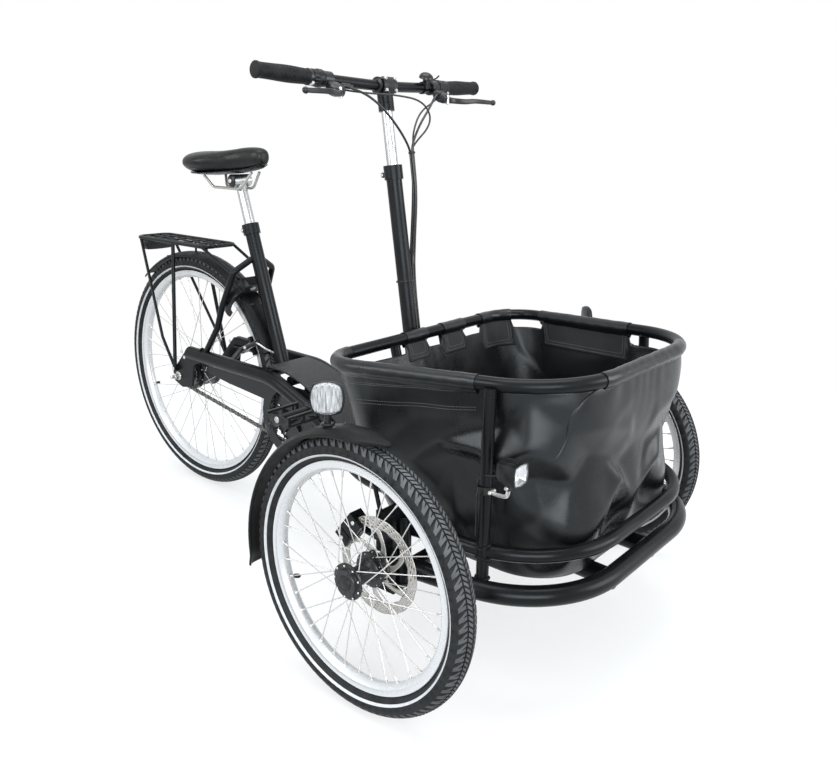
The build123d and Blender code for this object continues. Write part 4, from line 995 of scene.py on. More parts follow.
@dataclass
class FrontWheel(Wheel):
    """A front wheel: its hub shell, outer cap and drilled brake disc."""

    disc_at: float = 0.050

    @property
    def flanges(self) -> tuple[float, float]:
        """Places of the outer flange and of the one on the disc's side."""
        return (0.024 * self.out, -0.030 * self.out)

    @property
    def crossing(self) -> float:
        """How many spoke steps a spoke leads or trails."""
        return 2.0

    def along(self, place_y: float) -> float:
        """A place along the axle, measured inwards from the wheel's middle."""
        return -self.out * place_y

    def hub_shell(self) -> None:
        """The hub: waisted barrel, two drilled flanges, disc seat and a domed outer cap."""
        f = self.hub_flange_r
        profile = [
            (0.0105, 0.048), (0.024, 0.048), (0.025, 0.047), (0.025, 0.035), (0.0262, 0.0335),
            (f - 0.0008, 0.0318), (f, 0.0308), (f, 0.0292), (f - 0.0008, 0.0282), (0.023, 0.0268),
            (0.0195, 0.022), (0.0178, 0.012), (0.0176, 0.0), (0.0182, -0.010), (0.0205, -0.0185),
            (0.0235, -0.0212), (f - 0.0008, -0.0222), (f, -0.0232), (f, -0.0248),
            (f - 0.0008, -0.0258), (0.0245, -0.0262), (0.0236, -0.0275), (0.0232, -0.0315),
            (0.0222, -0.0325), (0.0105, -0.0325)]
        grid = lathe(np.array([(r, self.along(y)) for r, y in profile]), self.centre, segments=72)
        Shell().grid(grid, wrap_u=True).piece(
            f"{self.label}_hub_shell", DARK_METAL, self.body, [self._node("hub")], sharp=30)
        dome = mm(
            (0, -35.2), (6, -35), (11.2, -34), (11.8, -34.5), (12.8, -34.5), (13.6, -33.7),
            (14.2, -32.5), (14.2, -31), (0, -31))
        grid = lathe(np.array([(r, self.along(y)) for r, y in dome]), self.centre, segments=48)
        Shell().grid(grid, wrap_u=True).piece(
            f"{self.label}_hub_cap", PLASTIC, self.body, slot="black_metal", sharp=30)
        ring = Shell()
        for move in turns(9, self.centre, start=10):
            ring.turned(mm((0, 0.7), (1.1, 0.4), (1.3, 0), (1.3, -1), (0, -1)),
                        (0.0186, self.along(-0.0325), 0), (0, self.out, 0), 8, move=move)
        ring.piece(f"{self.label}_hub_studs", DARK_METAL, self.body)

    def disc(self) -> None:
        """The brake disc: a drilled band with a scalloped inner edge, on six curved arms.

        The band is a ring grid whose columns lean, so that the slots, which are cells left out,
        have straight leaning sides; Solidify gives it its thickness.
        """
        n = 216
        at = np.arange(n) / n * TAU
        rings = np.array([0.0705, 0.073, 0.0752, 0.0776, 0.080, 0.0826, 0.0850, 0.0876, 0.090])
        wave = np.array([1, 0.6, 0.2, 0, 0, 0, 0, -0.1, -0.5]) * 0.0009
        radius = rings[None, :] + wave[None, :] * np.cos(18 * at)[:, None]
        turn = at[:, None] + (rings[None, :] - 0.08) * 9.0
        plane = self.centre[1] + self.along(self.disc_at)
        grid = np.stack([self.centre[0] + radius * np.cos(turn), np.full_like(radius, plane),
                         self.centre[2] + radius * np.sin(turn)], -1)
        cell = np.arange(n)[:, None]
        band = np.arange(8)[None, :]
        hole = ((cell % 6 < 2) & (band == 2)) | (
            (cell % 6 >= 3) & (cell % 6 < 5) & (band == 4)) | ((cell % 6 < 2) & (band == 6))
        shell = Shell().grid(grid, wrap_u=True, keep=~hole)
        reach = np.linspace(0, 1, 12)[:, None]
        across = np.linspace(-1, 1, 5)[None, :]
        for k in range(6):
            half = 0.0042 + 0.0045 * (2 * reach - 1) ** 2 + 0.0016 * reach
            radius_arm = 0.026 + 0.0455 * reach + 0 * across
            turn_arm = k * TAU / 6 + 0.62 * reach + across * half / radius_arm
            shell.grid(
                np.stack([self.centre[0] + radius_arm * np.cos(turn_arm),
                    np.full_like(radius_arm, plane), self.centre[2] + radius_arm
                    * np.sin(turn_arm)], -1))
        spider = lathe(
            mm((16.5, 0), (28.5, 0)), (self.centre[0], plane, self.centre[2]), segments=72)
        shell.grid(spider, wrap_u=True)
        thicken(
            shell.piece(f"{self.label}_drilled_disc", STEEL, self.body, [self._node("disc")]),
            0.0018)
        bolts = Shell()
        head = mm((0, 0.9), (1.6, 0.9), (1.7, 2.4), (3.4, 2.4), (4.1, 1.7), (4.1, 0), (0, 0))
        for move in turns(6, (self.centre[0], plane - self.along(0.001), self.centre[2]), start=12):
            bolts.turned(head, (0.0222, 0, 0), (0, self.out, 0), 12, move=move)
        bolts.piece(f"{self.label}_disc_bolts", DARK_METAL, self.body)

    def build(self) -> None:
        """Makes the whole wheel."""
        super().build()
        self.hub_shell()
        self.disc()


@dataclass
class RearWheel(Wheel):
    """The driven wheel: its hub motor's shell and sprocket."""

    chain_y: float = -0.046

    def hub_dress(self) -> None:
        """The hub's drum bands and sprocket teeth over the CAD hub."""
        shell = Shell()
        for y in (-0.012, 0.0, 0.012):
            shell.turned(
                [(0.0405, y - 0.0022), (0.0417, y - 0.0012), (0.0417, y + 0.0012),
                    (0.0405, y + 0.0022)], self.centre, segments=72)
        shell.piece("rear_hub_bands", DARK_METAL, self.body)
        n, teeth = 160, 20
        at = np.arange(n) / n * TAU
        tip = 0.0345 + 0.0032 * smooth_step(np.cos(teeth * at), -0.5, 0.6)
        rows = []
        for scale, y in ((0.62, -0.0011), (1, -0.0011), (1, 0.0011), (0.62, 0.0011)):
            r = tip if scale == 1 else np.full(n, 0.0215)
            rows.append(
                np.stack([r * np.cos(at), np.full(n, self.chain_y + y), r * np.sin(at)], -1))
        Shell().grid(np.stack(rows, 1) + self.centre, wrap_u=True, wrap_v=True).piece(
            "rear_sprocket_teeth", CHAIN_STEEL, self.body, sharp=25)

    def build(self) -> None:
        """Makes the whole wheel."""
        super().build()
        self.hub_dress()


# ---- the tub ----------------------------------------------------------------------------
@dataclass(frozen=True)
class Ring:
    """A rounded trapezium: its ends' places, half widths, corner radii and height."""

    rear_x: float
    front_x: float
    rear_y: float
    front_y: float
    rear_bend: float
    front_bend: float
    height: float
    rise: float = 0.0

    def outline(self, straight: Sequence[int], bend: int) -> Array:
        """Points round the ring from the middle of its rear side, by way of the right side.

        Args:
            straight: Points along the rear half, a side and the front.
            bend: Points round each corner.

        Returns:
            Points that close on themselves, with the same count for every ring.
        """
        corners = np.array([(self.rear_x, -self.rear_y), (self.front_x, -self.front_y),
                            (self.front_x, self.front_y), (self.rear_x, self.rear_y)])
        radii = [self.rear_bend, self.front_bend, self.front_bend, self.rear_bend]
        arcs = []
        for k in range(4):
            before = unit(corners[k] - corners[k - 1])
            after = unit(corners[(k + 1) % 4] - corners[k])
            inward = unit(after - before)
            half = math.acos(float(before @ after)) / 2
            centre = corners[k] + inward * radii[k] / math.cos(half)
            t = np.linspace(-half, half, bend)[:, None]
            arcs.append(
                centre + radii[k] * (-inward * np.cos(t) + unit(before + after) * np.sin(t)))
        middle = np.array([[self.rear_x, 0.0]])
        counts = [straight[0], straight[1], straight[2], straight[1], straight[0]]
        stops = [middle] + arcs + [middle]
        flat = []
        for k, count in enumerate(counts):
            share = np.linspace(0, 1, count + 2)[1:-1, None]
            flat.append(stops[k][-1:] * (1 - share) + stops[k + 1][:1] * share)
            if k < 4:
                flat.append(arcs[k])
        flat = np.concatenate([middle] + flat)
        z = self.height + (flat[:, 0] - self.rear_x) * math.tan(math.radians(self.rise))
        return np.column_stack([flat - np.array([CENTRE_X, 0]), z])


@dataclass
class Tub:
    """The tarpaulin bag: its crumpled walls, sleeves, hems, stitches and floor."""

    body: str = "frame"
    floor: Ring = Ring(0.935, 1.310, 0.266, 0.228, 0.070, 0.120, 0.252, -3.6)
    rim: Ring = Ring(0.820, 1.343, 0.322, 0.250, 0.083, 0.163, 0.568, 3.3)
    straight: tuple[int, int, int] = (42, 72, 34)
    bend: int = 34
    rows: int = 74
    cloth: float = 0.0022
    patch_cloth: float = 0.0009
    creases: tuple[tuple[float, float, float], ...] = ()
    sleeves: tuple[tuple[float, float], ...] = ()
    filled: tuple[float, float] = (0.548, 0.748)
    crumple: float = 2.3

    def __post_init__(self) -> None:
        """Works out the two rings and the distance round the tub at each column."""
        self.low = self.floor.outline(self.straight, self.bend)
        self.high = self.rim.outline(self.straight, self.bend)
        loop = (self.low + self.high) / 2
        steps = np.linalg.norm(np.diff(np.concatenate([loop, loop[:1]]), axis=0), axis=1)
        self.around = np.concatenate([[0], np.cumsum(steps)[:-1]])
        self.whole = float(steps.sum())

    def wall(self, around: Array, up: Array, out: Array | float = 0.0) -> Array:
        """Points on the wall: (1 - up) * floor ring + up * rim ring + out * outward normal.

        Args:
            around: Distances round the tub from the middle of the rear wall.
            up: Shares of the way from the floor to the rim.
            out: Distances out of the wall.

        Returns:
            The points.
        """
        around = np.mod(real(around), self.whole)
        ring = np.concatenate([self.around, [self.whole]])
        low, high = (
            np.stack([np.interp(around, ring, np.append(loop[:, k], loop[0, k]))
                for k in range(3)], -1) for loop in (self.low, self.high))
        ahead = np.mod(around + 0.004, self.whole)
        next_low = np.stack(
            [np.interp(ahead, ring, np.append(self.low[:, k], self.low[0, k])) for k in range(3)],
            -1)
        normal = unit(np.cross(next_low - low, high - low))
        up = real(up)[..., None]
        return low * (1 - up) + high * up + normal * real(out)[..., None]

    @property
    def height(self) -> float:
        """The wall's height from the floor to the middle of the rim tube."""
        return self.rim.height - self.floor.height

    def hung(self, around: Array) -> Array:
        """1 where the cloth runs up into a sleeve and 0 at the gaps between sleeves.

        Args:
            around: Distances round the tub.

        Returns:
            A share for each.
        """
        share = np.zeros_like(around)
        for start, end in (*self.sleeves, self.filled):
            for shift in (-self.whole, 0.0, self.whole):
                inside = smooth_step(around, start + shift - 0.004, start + shift + 0.002) * (
                    1 - smooth_step(around, end + shift - 0.002, end + shift + 0.004))
                share = np.maximum(share, inside)
        return share

    def top(self, around: Array) -> Array:
        """How far up the cloth reaches: into a sleeve, or to a hem that sags a little in a gap."""
        sag = 0.006 * np.sin(around * 19.0) ** 2
        return 0.912 - sag + (0.058 + sag) * self.hung(around)

    def facets(self, around: Array, up: Array) -> Array:
        """The crumple: control points of known relief joined into flat triangles, softened after.

        Args:
            around: Distances round the tub, one for each column.
            up: Shares of the height, one for each row.

        Returns:
            Distances out of the wall, columns by rows.
        """
        tall = self.height
        rng = np.random.default_rng(11)
        loose = np.stack([rng.uniform(0, self.whole, 84), rng.uniform(0.08, 0.9, 84),
                          rng.uniform(-0.0034, 0.003, 84)], -1)
        known = np.array(self.creases)
        far = known.copy()
        far[:, 0] = self.whole - far[:, 0] + 0.012 * np.sin(9 * known[:, 0])
        far[:, 2] *= 0.8
        strong = np.concatenate([known, far])
        strong[:, 2] *= self.crumple
        gap = np.hypot(
            loose[:, None, 0] - strong[None, :, 0], tall * (loose[:, None, 1] - strong[None, :, 1]))
        loose = loose[gap.min(axis=1) > 0.075]
        edge = np.arange(0, self.whole, 0.09)
        hem = np.concatenate(
            [np.stack([edge, np.full_like(edge, level), np.zeros_like(edge)], -1)
                for level in (-0.02, 1.02)])
        cloud = np.concatenate([strong, loose, hem])
        cloud = np.concatenate([cloud + vec(shift, 0, 0) for shift in (-self.whole, 0, self.whole)])
        cloud = cloud[(cloud[:, 0] > -0.3) & (cloud[:, 0] < self.whole + 0.3)]
        flat = cloud[:, :2] * np.array([1, tall])
        made = delaunay_2d_cdt([Vector(p) for p in flat.tolist()], [], [], 0, 1e-6)
        spots = np.array([tuple(p) for p in made[0]])
        owner = np.array([first[0] for first in made[3]])
        relief = cloud[owner, 2]
        x, y = np.meshgrid(around, up * tall, indexing="ij")
        out = np.zeros_like(x)
        for a, b, c in made[2]:
            (ax, ay), (bx, by), (cx, cy) = spots[a], spots[b], spots[c]
            area = (bx - ax) * (cy - ay) - (cx - ax) * (by - ay)
            wb = ((x - ax) * (cy - ay) - (cx - ax) * (y - ay)) / area
            wc = ((bx - ax) * (y - ay) - (x - ax) * (by - ay)) / area
            inside = (wb >= -1e-9) & (wc >= -1e-9) & (wb + wc <= 1 + 1e-9)
            out = np.where(inside, relief[a] * (1 - wb - wc) + relief[b] * wb + relief[c] * wc, out)
        for _ in range(2):
            out = (np.roll(out, 1, 0) + 2 * out + np.roll(out, -1, 0)) / 4
            inner = np.concatenate([out[:, :1], out, out[:, -1:]], axis=1)
            out = (inner[:, :-2] + 2 * inner[:, 1:-1] + inner[:, 2:]) / 4
        return out

    def relief(self) -> tuple[Array, Array]:
        """The rows' shares of the height and the wall's relief on the whole grid.

        The relief is the facets, plus pull lines under the sleeves' ends, plus a slow sag:
        out = facets + a * sin(k s) * up^7 + belly * sin(pi up).

        Returns:
            The rows' shares and the relief, points round the tub by rows.
        """
        up = np.linspace(0, 1, self.rows)
        around = self.around[:, None]
        out = self.facets(self.around, up)
        out = out + 0.0005 * np.sin(around * 150 + 3 * np.sin(around * 21)) * up ** 7
        out = out + 0.0008 * np.sin(around * 96 + 40 * up) * (1 - up) ** 3
        out = out + 0.002 * np.sin(math.pi * up) * (1 + np.sin(around * 7.0))
        return up, out * smooth_step(up, 0, 0.05) * (1 - smooth_step(up, 0.95, 1.0))

    def out_at(self, around: Array, up: Array) -> Array:
        """The wall's relief at any places, by interpolation on its grid.

        Args:
            around: Distances round the tub.
            up: Shares of the height.

        Returns:
            Distances out of the wall.
        """
        rows, grid = self.rows_up, self.bumps
        around = np.mod(around, self.whole)
        column = np.clip(
            np.searchsorted(self.around, around, side="right") - 1, 0, len(self.around) - 1)
        row = np.clip((np.asarray(up) * (len(rows) - 1)).astype(int), 0, len(rows) - 2)
        part = np.clip(np.asarray(up) * (len(rows) - 1) - row, 0, 1)
        nxt = (column + 1) % len(self.around)
        step = np.where(nxt == 0, self.whole, self.around[nxt]) - self.around[column]
        share = (around - self.around[column]) / np.maximum(step, 1e-9)
        low = grid[column, row] * (1 - share) + grid[nxt, row] * share
        high = grid[column, row + 1] * (1 - share) + grid[nxt, row + 1] * share
        return low * (1 - part) + high * part

    def walls(self) -> None:
        """The walls with their rounded foot and the sagging floor, as one cloth."""
        top = self.top(self.around)
        up = self.rows_up[None, :] * top[:, None]
        grid = self.wall(np.broadcast_to(self.around[:, None], up.shape), up, self.out_at(
            np.broadcast_to(self.around[:, None], up.shape), up))
        middle = self.low.mean(axis=0)
        rings = []
        for share in (0.0, 0.12, 0.25, 0.4, 0.55, 0.7, 0.82, 0.9, 0.95, 0.985):
            ring = middle + (self.low - middle) * share
            lift = 0.0035 + 0.002 * np.sin(ring[:, 0] * 26) * np.sin(ring[:, 1] * 23) * (1 - share)
            lift = lift - 0.0025 * smooth_step(share, 0.9, 1.0)
            rings.append(ring + np.stack([0 * lift, 0 * lift, lift], -1))
        cloth = np.concatenate([np.stack(rings, axis=1), grid[:, 1:]], axis=1)
        coords = np.stack(
            [np.broadcast_to(self.around[:, None], cloth.shape[:2]),
                np.broadcast_to(np.linspace(0, self.height, cloth.shape[1]), cloth.shape[:2])], -1)
        piece = Shell().grid(cloth, wrap_u=True, coords=coords).piece(
            "tub_tarpaulin_bag", TARPAULIN, self.body, ["tub_bag"], sharp=60)
        thicken(piece, self.cloth, even=True)

    def rim_route(self, start: float, end: float, step: float = 0.005) -> Array:
        """The rim tube's middle line between two distances round the tub."""
        count = max(3, int((end - start) / step))
        return self.wall(np.linspace(start, end, count), np.ones(count))

    def sleeve(self, order: int, start: float, end: float) -> None:
        """A sleeve of cloth round the rim tube, pinched together under it and puckered along it.

        Args:
            order: Its number, for its name.
            start: Where it starts round the tub.
            end: Where it ends.
        """
        route = self.rim_route(start, end)
        turn = np.linspace(0, TAU, 40, endpoint=False)
        under = np.angle(np.exp(1j * (turn + math.pi / 2)))
        radius = RIM_TUBE_R + 0.0015 + 0.0065 * np.exp(-(under / 0.28) ** 2)
        section = np.stack([radius * np.cos(turn), radius * np.sin(turn)], -1)
        grid = sweep(route, section)
        along = np.linspace(start, end, len(route))[:, None]
        pucker = 0.0002 * np.sin(
            along * 210 + 2 * np.sin(turn[None, :] * 2)) + 0.0002 * np.sin(along * 87)
        grid = grid + unit(grid - route[:, None, :]) * pucker[..., None]
        ends = np.concatenate(
            [route[:1, None] + (grid[:1] - route[:1, None]) * 0.94, grid, route[-1:, None]
                + (grid[-1:] - route[-1:, None]) * 0.94])
        Shell().grid(ends, wrap_v=True).piece(f"tub_sleeve_{order}", TARPAULIN, self.body, sharp=50)

    def patch(
            self, name: str, left: Array, right: Array, up: Array, out: Array | float,
            finish: Finish, columns: int = 40) -> None:
        """A layer of cloth laid on the wall, with a rolled edge all round.

        Args:
            name: The piece's name.
            left: Where each row starts round the tub.
            right: Where each row ends.
            up: Each row's share of the height.
            out: How far it lies out of the wall, negative inside the tub, or a value a row.
            finish: Its finish.
            columns: Points along each row.
        """
        share = np.linspace(0, 1, columns)[:, None]
        around = left[None, :] * (1 - share) + right[None, :] * share
        level = np.broadcast_to(up[None, :], around.shape)
        rim = np.minimum(np.minimum(share, 1 - share) * columns / 1.5, 1)
        rise = self.out_at(around, level) + out * (0.35 + 0.65 * np.sqrt(np.clip(rim, 0, 1)))
        skin = Shell().grid(self.wall(around, level, rise)).piece(name, finish, self.body, sharp=60)
        thicken(skin, self.patch_cloth)

    def stitches(
            self, name: str, lines: Sequence[Array], out: float, pitch: float = 0.0052) -> None:
        """Rows of short thread stitches that lie on the cloth.

        Args:
            name: The piece's name.
            lines: Each a list of (distance round, share of the height).
            out: How far out of the wall they lie.
            pitch: Distance from stitch to stitch.
        """
        shell = Shell()
        for line in lines:
            spots = self.wall(line[:, 0], line[:, 1], self.out_at(line[:, 0], line[:, 1]) + out)
            spots = resample(spots, pitch)
            for a, b in zip(spots[:-1], spots[1:]):
                middle, way = (a + b) / 2, unit(b - a)
                across = unit(np.cross(way, (0.3, 0.2, 0.93)))
                reach = pitch * 0.31
                profile = np.array(
                    [(0, -reach), (0.00042, -reach * 0.7), (0.00048, 0), (0.00042, reach * 0.7),
                        (0, reach)])
                shell.turned(profile, middle, way, 5, zero=across)
        shell.piece(name, THREAD, self.body, sharp=80)

    def box_line(
            self, start: float, end: float, low: float, high: float, inset: float = 0.006) -> Array:
        """A stitch line down one side, along the foot and up the other side of a tab.

        Args:
            start: Where the tab starts round the tub.
            end: Where it ends.
            low: Its foot's share of the height.
            high: Its top's share.
            inset: How far inside its edge the line runs.

        Returns:
            Points (distance round, share of the height).
        """
        dip = inset / self.height
        corners = np.array(
            [(start + inset, high), (start + inset, low + dip), (end - inset, low + dip),
                (end - inset, high)])
        return np.concatenate(
            [corners[:1], (corners[:1] + corners[1:2]) / 2, corners[1:2],
                (corners[1:2] + corners[2:3]) / 2, corners[2:3], (corners[2:3] + corners[3:]) / 2,
                corners[3:]])

    def hems(self) -> None:
        """The tabs' stitched ends inside the tub and the long seams outside."""
        lines, outside = [], []
        tabs = (
            (0, 0.000, 0.063, 0.845), (1, self.whole - 0.120, self.whole - 0.050, 0.83),
            (2, 1.522, 1.614, 0.78), (3, 1.240, 1.448, 0.80), (4, 0.745, 1.070, 0.86),
            (5, 0.216, 0.549, 0.84))
        for order, start, end, low in tabs:
            up = np.linspace(low, 0.965, 16)
            wave = 0.0016 * np.sin(up * 60 + order)
            self.patch(f"tub_tab_{order}", start + wave, end + wave, up, -0.0024, WEBBING,
                       columns=max(12, int((end - start) / 0.006)))
            lines.append(self.box_line(start, end, low, 0.96))
            lines.append(self.box_line(start + 0.006, end - 0.006, low + 0.02, 0.96))
        self.stitches("tub_tab_stitches", lines, -0.0037)
        for level, climb in ((0.888, 0.21), (0.898, 0.20), (0.776, 0.27), (0.796, 0.25)):
            along = np.linspace(0.255, 0.546, 40)
            outside.append(
                np.stack([along, level + climb * (along - 0.255) + 0.002 * np.sin(along * 60)], -1))
        self.stitches("tub_side_stitches", outside, 0.0017)

    def front_panel(self) -> None:
        """The front's second layer, whose right edge sweeps in a curve from the rim."""
        up = np.concatenate(
            [np.linspace(0.03, 0.78, 50), 0.79 + 0.181 * np.sin(np.linspace(0, math.pi / 2, 26))])
        bow = 0.056 * (1 - np.sqrt(1 - np.clip((up - 0.79) / 0.1815, 0, 1) ** 2))
        left = 0.688 + bow - 0.041 * smooth_step(
            0.77 - up, 0.0, 0.26) + 0.03 * smooth_step(0.5 - up, 0.0, 0.4)
        right = 1.106 - bow - 0.01 * smooth_step(0.7 - up, 0.0, 0.6)
        out = 0.0006 + 0.0015 * smooth_step(up, 0.5, 0.75)
        self.patch("tub_front_panel", left, right, up, out[None, :], TARPAULIN, columns=110)

    def build(self) -> None:
        """Makes the whole tub."""
        self.rows_up, self.bumps = self.relief()
        self.walls()
        for order, (start, end) in enumerate(self.sleeves):
            self.sleeve(order, start, end)
        self.hems()
        self.front_panel()


TUB_SLEEVES = (
    (0.215, 0.550), (0.745, 1.070), (1.240, 1.448), (1.522, 1.614), (1.6735, 1.7435), (0.0, 0.063))
TUB_CREASES = (
    (0.647, 0.515, -0.0105), (0.715, 0.887, 0.004), (0.666, 0.654, 0.0065), (0.690, 0.770, 0.002),
    (0.720, 0.497, -0.006), (0.805, 0.358, 0.0075), (0.780, 0.113, 0.003), (0.762, 0.761, 0.004),
    (0.827, 0.472, 0.0095), (0.742, 0.214, 0.0075), (0.790, 0.60, -0.003), (0.850, 0.881, 0.003),
    (0.908, 0.314, 0.0065), (0.749, 0.616, -0.0075), (0.603, 0.880, 0.0), (0.560, 0.830, -0.001),
    (0.630, 0.931, -0.002), (0.600, 0.650, 0.0105), (0.600, 0.800, -0.004), (0.469, 0.655, 0.003),
    (0.512, 0.653, 0.0055), (0.556, 0.652, 0.0080), (0.512, 0.708, 0.0), (0.556, 0.756, -0.0021),
    (0.510, 0.790, 0.0), (0.540, 0.600, -0.0035), (0.490, 0.600, -0.003), (0.413, 0.528, 0.0045),
    (0.630, 0.700, 0.0085), (0.493, 0.327, 0.005), (0.452, 0.400, 0.0), (0.641, 0.060, 0.001),
    (0.691, 0.045, 0.005), (0.659, 0.314, -0.0045), (0.704, 0.302, 0.0035), (0.854, 0.226, 0.001),
    (0.880, 0.600, 0.001), (0.850, 0.700, 0.0045), (0.965, 0.520, -0.002), (0.960, 0.250, -0.004),
    (0.600, 0.480, 0.002), (0.560, 0.420, -0.002), (0.580, 0.230, -0.003), (0.390, 0.300, -0.003),
    (0.340, 0.550, 0.003), (0.430, 0.740, -0.001), (0.300, 0.350, 0.004), (0.950, 0.800, 0.003))


# ---- frame, bumpers and weld beads ------------------------------------------------------
def bead(centre: Vec, axis: Vec, radius: float, size: float = 0.0026,
         dip: float = 0.0, other: Vec = (1, 0, 0), count: int = 26) -> Array:
    """A weld bead: a ring round one tube that saddles over another, rippled like stacked coins.

    ring = centre + radius (a cos t + b sin t) + axis * dip * (b.sin t)^2 / radius^2, and the bead's
    thickness swells and falls count times on its way round.

    Args:
        centre: Where the first tube's middle line meets the second tube's skin.
        axis: The first tube's direction.
        radius: The first tube's radius.
        size: The bead's own radius.
        dip: How far the ring drops at the sides of a round second tube.
        other: The second tube's direction.
        count: Ripples round the ring.

    Returns:
        A closed grid of points.
    """
    way = unit(real(axis))
    first = unit(real(other) - way * (real(other) @ way))
    second = np.cross(way, first)
    t = np.linspace(0, TAU, count * 6, endpoint=False)[:, None]
    route = real(centre) + radius * (
        first * np.cos(t) + second * np.sin(t)) - way * dip * np.sin(t) ** 2
    size_at = size * (1 + 0.22 * np.cos(t[:, 0] * count))
    return sweep(route, round_section(1.0, 8), up=way, closed=True, scale=size_at)


@dataclass
class Welds:
    """Weld beads where tubes meet tubes in view."""

    body: str = "frame"

    def build(self) -> None:
        """Lays every bead."""
        beads = []
        for side in (-1, 1):
            foot = place(1.208, side * 0.297, 0.234)
            waist = place(1.208, side * 0.297, 0.300)
            beads.append(bead(foot + vec(0, 0, 0.0175), (0, 0, 1), 0.0112, dip=0.0035))
            beads.append(bead(waist - vec(0, 0, 0.0128), (0, 0, -1), 0.0112, dip=0.005))
            beads.append(bead(waist + vec(0, 0, 0.0128), (0, 0, 1), 0.0112, dip=0.005))
            back = place(0.893, side * 0.080, 0.222)
            way = unit(place(0.802, side * 0.080, 0.568) - back)
            beads.append(bead(back + way * 0.0185, way, 0.0112, dip=0.0035))
            head = place(1.060, side * 0.336, 0.206)
            for z in (0.0015, 0.1285):
                beads.append(bead(head + vec(0, 0, z), (0, 0, 1), 0.0152, 0.0013))
            stay = place(0.122, side * 0.080, 0.4193)
            beads.append(bead(stay, unit(vec(0.058, -side * 0.006, 0.088)), 0.0085, dip=0.002))
        lean = SEAT_LEAN
        top = vec(-math.sin(lean), 0, math.cos(lean))
        seat_foot = place(0.351, 0, 0.397)
        beads.append(bead(seat_foot + top * 0.012, top, 0.0178, dip=0.006, other=(0, 1, 0)))
        shell = Shell()
        for grid in beads:
            shell.grid(grid, wrap_u=True, wrap_v=True)
        shell.piece("weld_beads", BLACK_COAT, self.body, sharp=70)


# ---- mudguards and reflectors -----------------------------------------------------------
def polar(
        centre: Array, radius: Array | float, degrees: Array | float, across: Array
        | float) -> Array:
    """Points round a wheel's axle: centre + (r cos a, across, r sin a).

    Args:
        centre: The wheel's middle.
        radius: Distance from the axle.
        degrees: The angle, rising from the front.
        across: Distance to the rider's left.

    Returns:
        The points.
    """
    turn = np.radians(degrees)
    parts = np.broadcast_arrays(radius * np.cos(turn), across, radius * np.sin(turn))
    return centre + np.stack(parts, -1)


def soft_square(u: Array, v: Array, corner: float = 0.35) -> tuple[Array, Array]:
    """A square drawn in at its corners: (u sqrt(1 - k v^2), v sqrt(1 - k u^2))."""
    return u * np.sqrt(1 - corner * v ** 2), v * np.sqrt(1 - corner * u ** 2)


def soft_outline(count: int, corner: float = 0.35) -> tuple[Array, Array]:
    """Points round the edge of a soft square, evenly turned.

    Args:
        count: How many.
        corner: How far its corners draw in.

    Returns:
        Two arrays, across and up.
    """
    turn = np.linspace(0, TAU, count, endpoint=False)
    box = 1 / np.maximum(np.abs(np.cos(turn)), np.abs(np.sin(turn)))
    return soft_square(np.cos(turn) * box, np.sin(turn) * box, corner)


@dataclass
class Mudguard:
    """A thin guard round a wheel: flat crown, shouldered sides and edges rolled in."""

    name: str
    node: str
    body: str
    centre: Array
    crown: float
    start: float
    stop: float
    tongue: float = 0.0
    flare: float = 0.0
    half: float = 0.030
    wall: float = 0.002

    def surface(self, angle: Array, share: Array, drop: Array | float = 0.0) -> Array:
        """Points of the guard's middle skin.

        half width = tip + (half - tip) * (1 - (1 - t)^2) along the tongue, and
        radius = crown - 9 mm * |y / half|^2.8 - drop + flare near the far end.

        Args:
            angle: Degrees from the front.
            share: Place across, from -1 to 1.
            drop: How far inside the skin the points lie.

        Returns:
            The points.
        """
        arc_in = np.radians(angle - self.start) * self.crown
        part = np.clip(arc_in / self.tongue, 0, 1) if self.tongue else np.ones_like(arc_in)
        wide = 0.0016 + (self.half - 0.0016) * (1 - (1 - part) ** 2.0)
        across = share * wide
        radius = self.crown - self.wall / 2 - 0.009 * np.abs(across / self.half) ** 2.8 - drop
        radius = radius + self.flare * smooth_step(angle, self.stop - 7, self.stop) ** 2
        return polar(self.centre, radius, angle, across)

    def build(self) -> None:
        """Makes the shell, its rolled edges and its rivets."""
        length = math.radians(self.stop - self.start) * self.crown
        angle = np.linspace(self.start, self.stop, int(length / 0.0045))[:, None]
        share = np.concatenate(
            [[-0.94, -0.985, -1.0, -1.0], np.linspace(-0.985, 0.985, 25), [1.0, 1.0, 0.985, 0.94]])
        drop = np.zeros(33)
        drop[[0, 1, 2, 30, 31, 32]] = (0.0030, 0.0034, 0.0018, 0.0018, 0.0034, 0.0030)
        piece = Shell().grid(self.surface(angle, share[None, :], drop[None, :])).piece(
            self.name, GUARD_PLASTIC, self.body, [self.node], sharp=60)
        thicken(piece, self.wall, even=True)
        rivets = Shell()
        head = mm((0, 1.6), (2.2, 1.4), (3.6, 0.7), (4.2, 0), (4.2, -1))
        for at in (
                self.start + 0.21 * (self.stop - self.start), self.start + 0.82
                * (self.stop - self.start)):
            for across in (-0.42, 0.42):
                spot = self.surface(np.array(at), np.array(across), -self.wall / 2)
                out = unit(spot - self.centre) * vec(1, 0, 1)
                rivets.turned(head, spot, out, 14, zero=(0, 1, 0))
        rivets.piece(f"{self.name}_rivets", DARK_METAL, self.body)


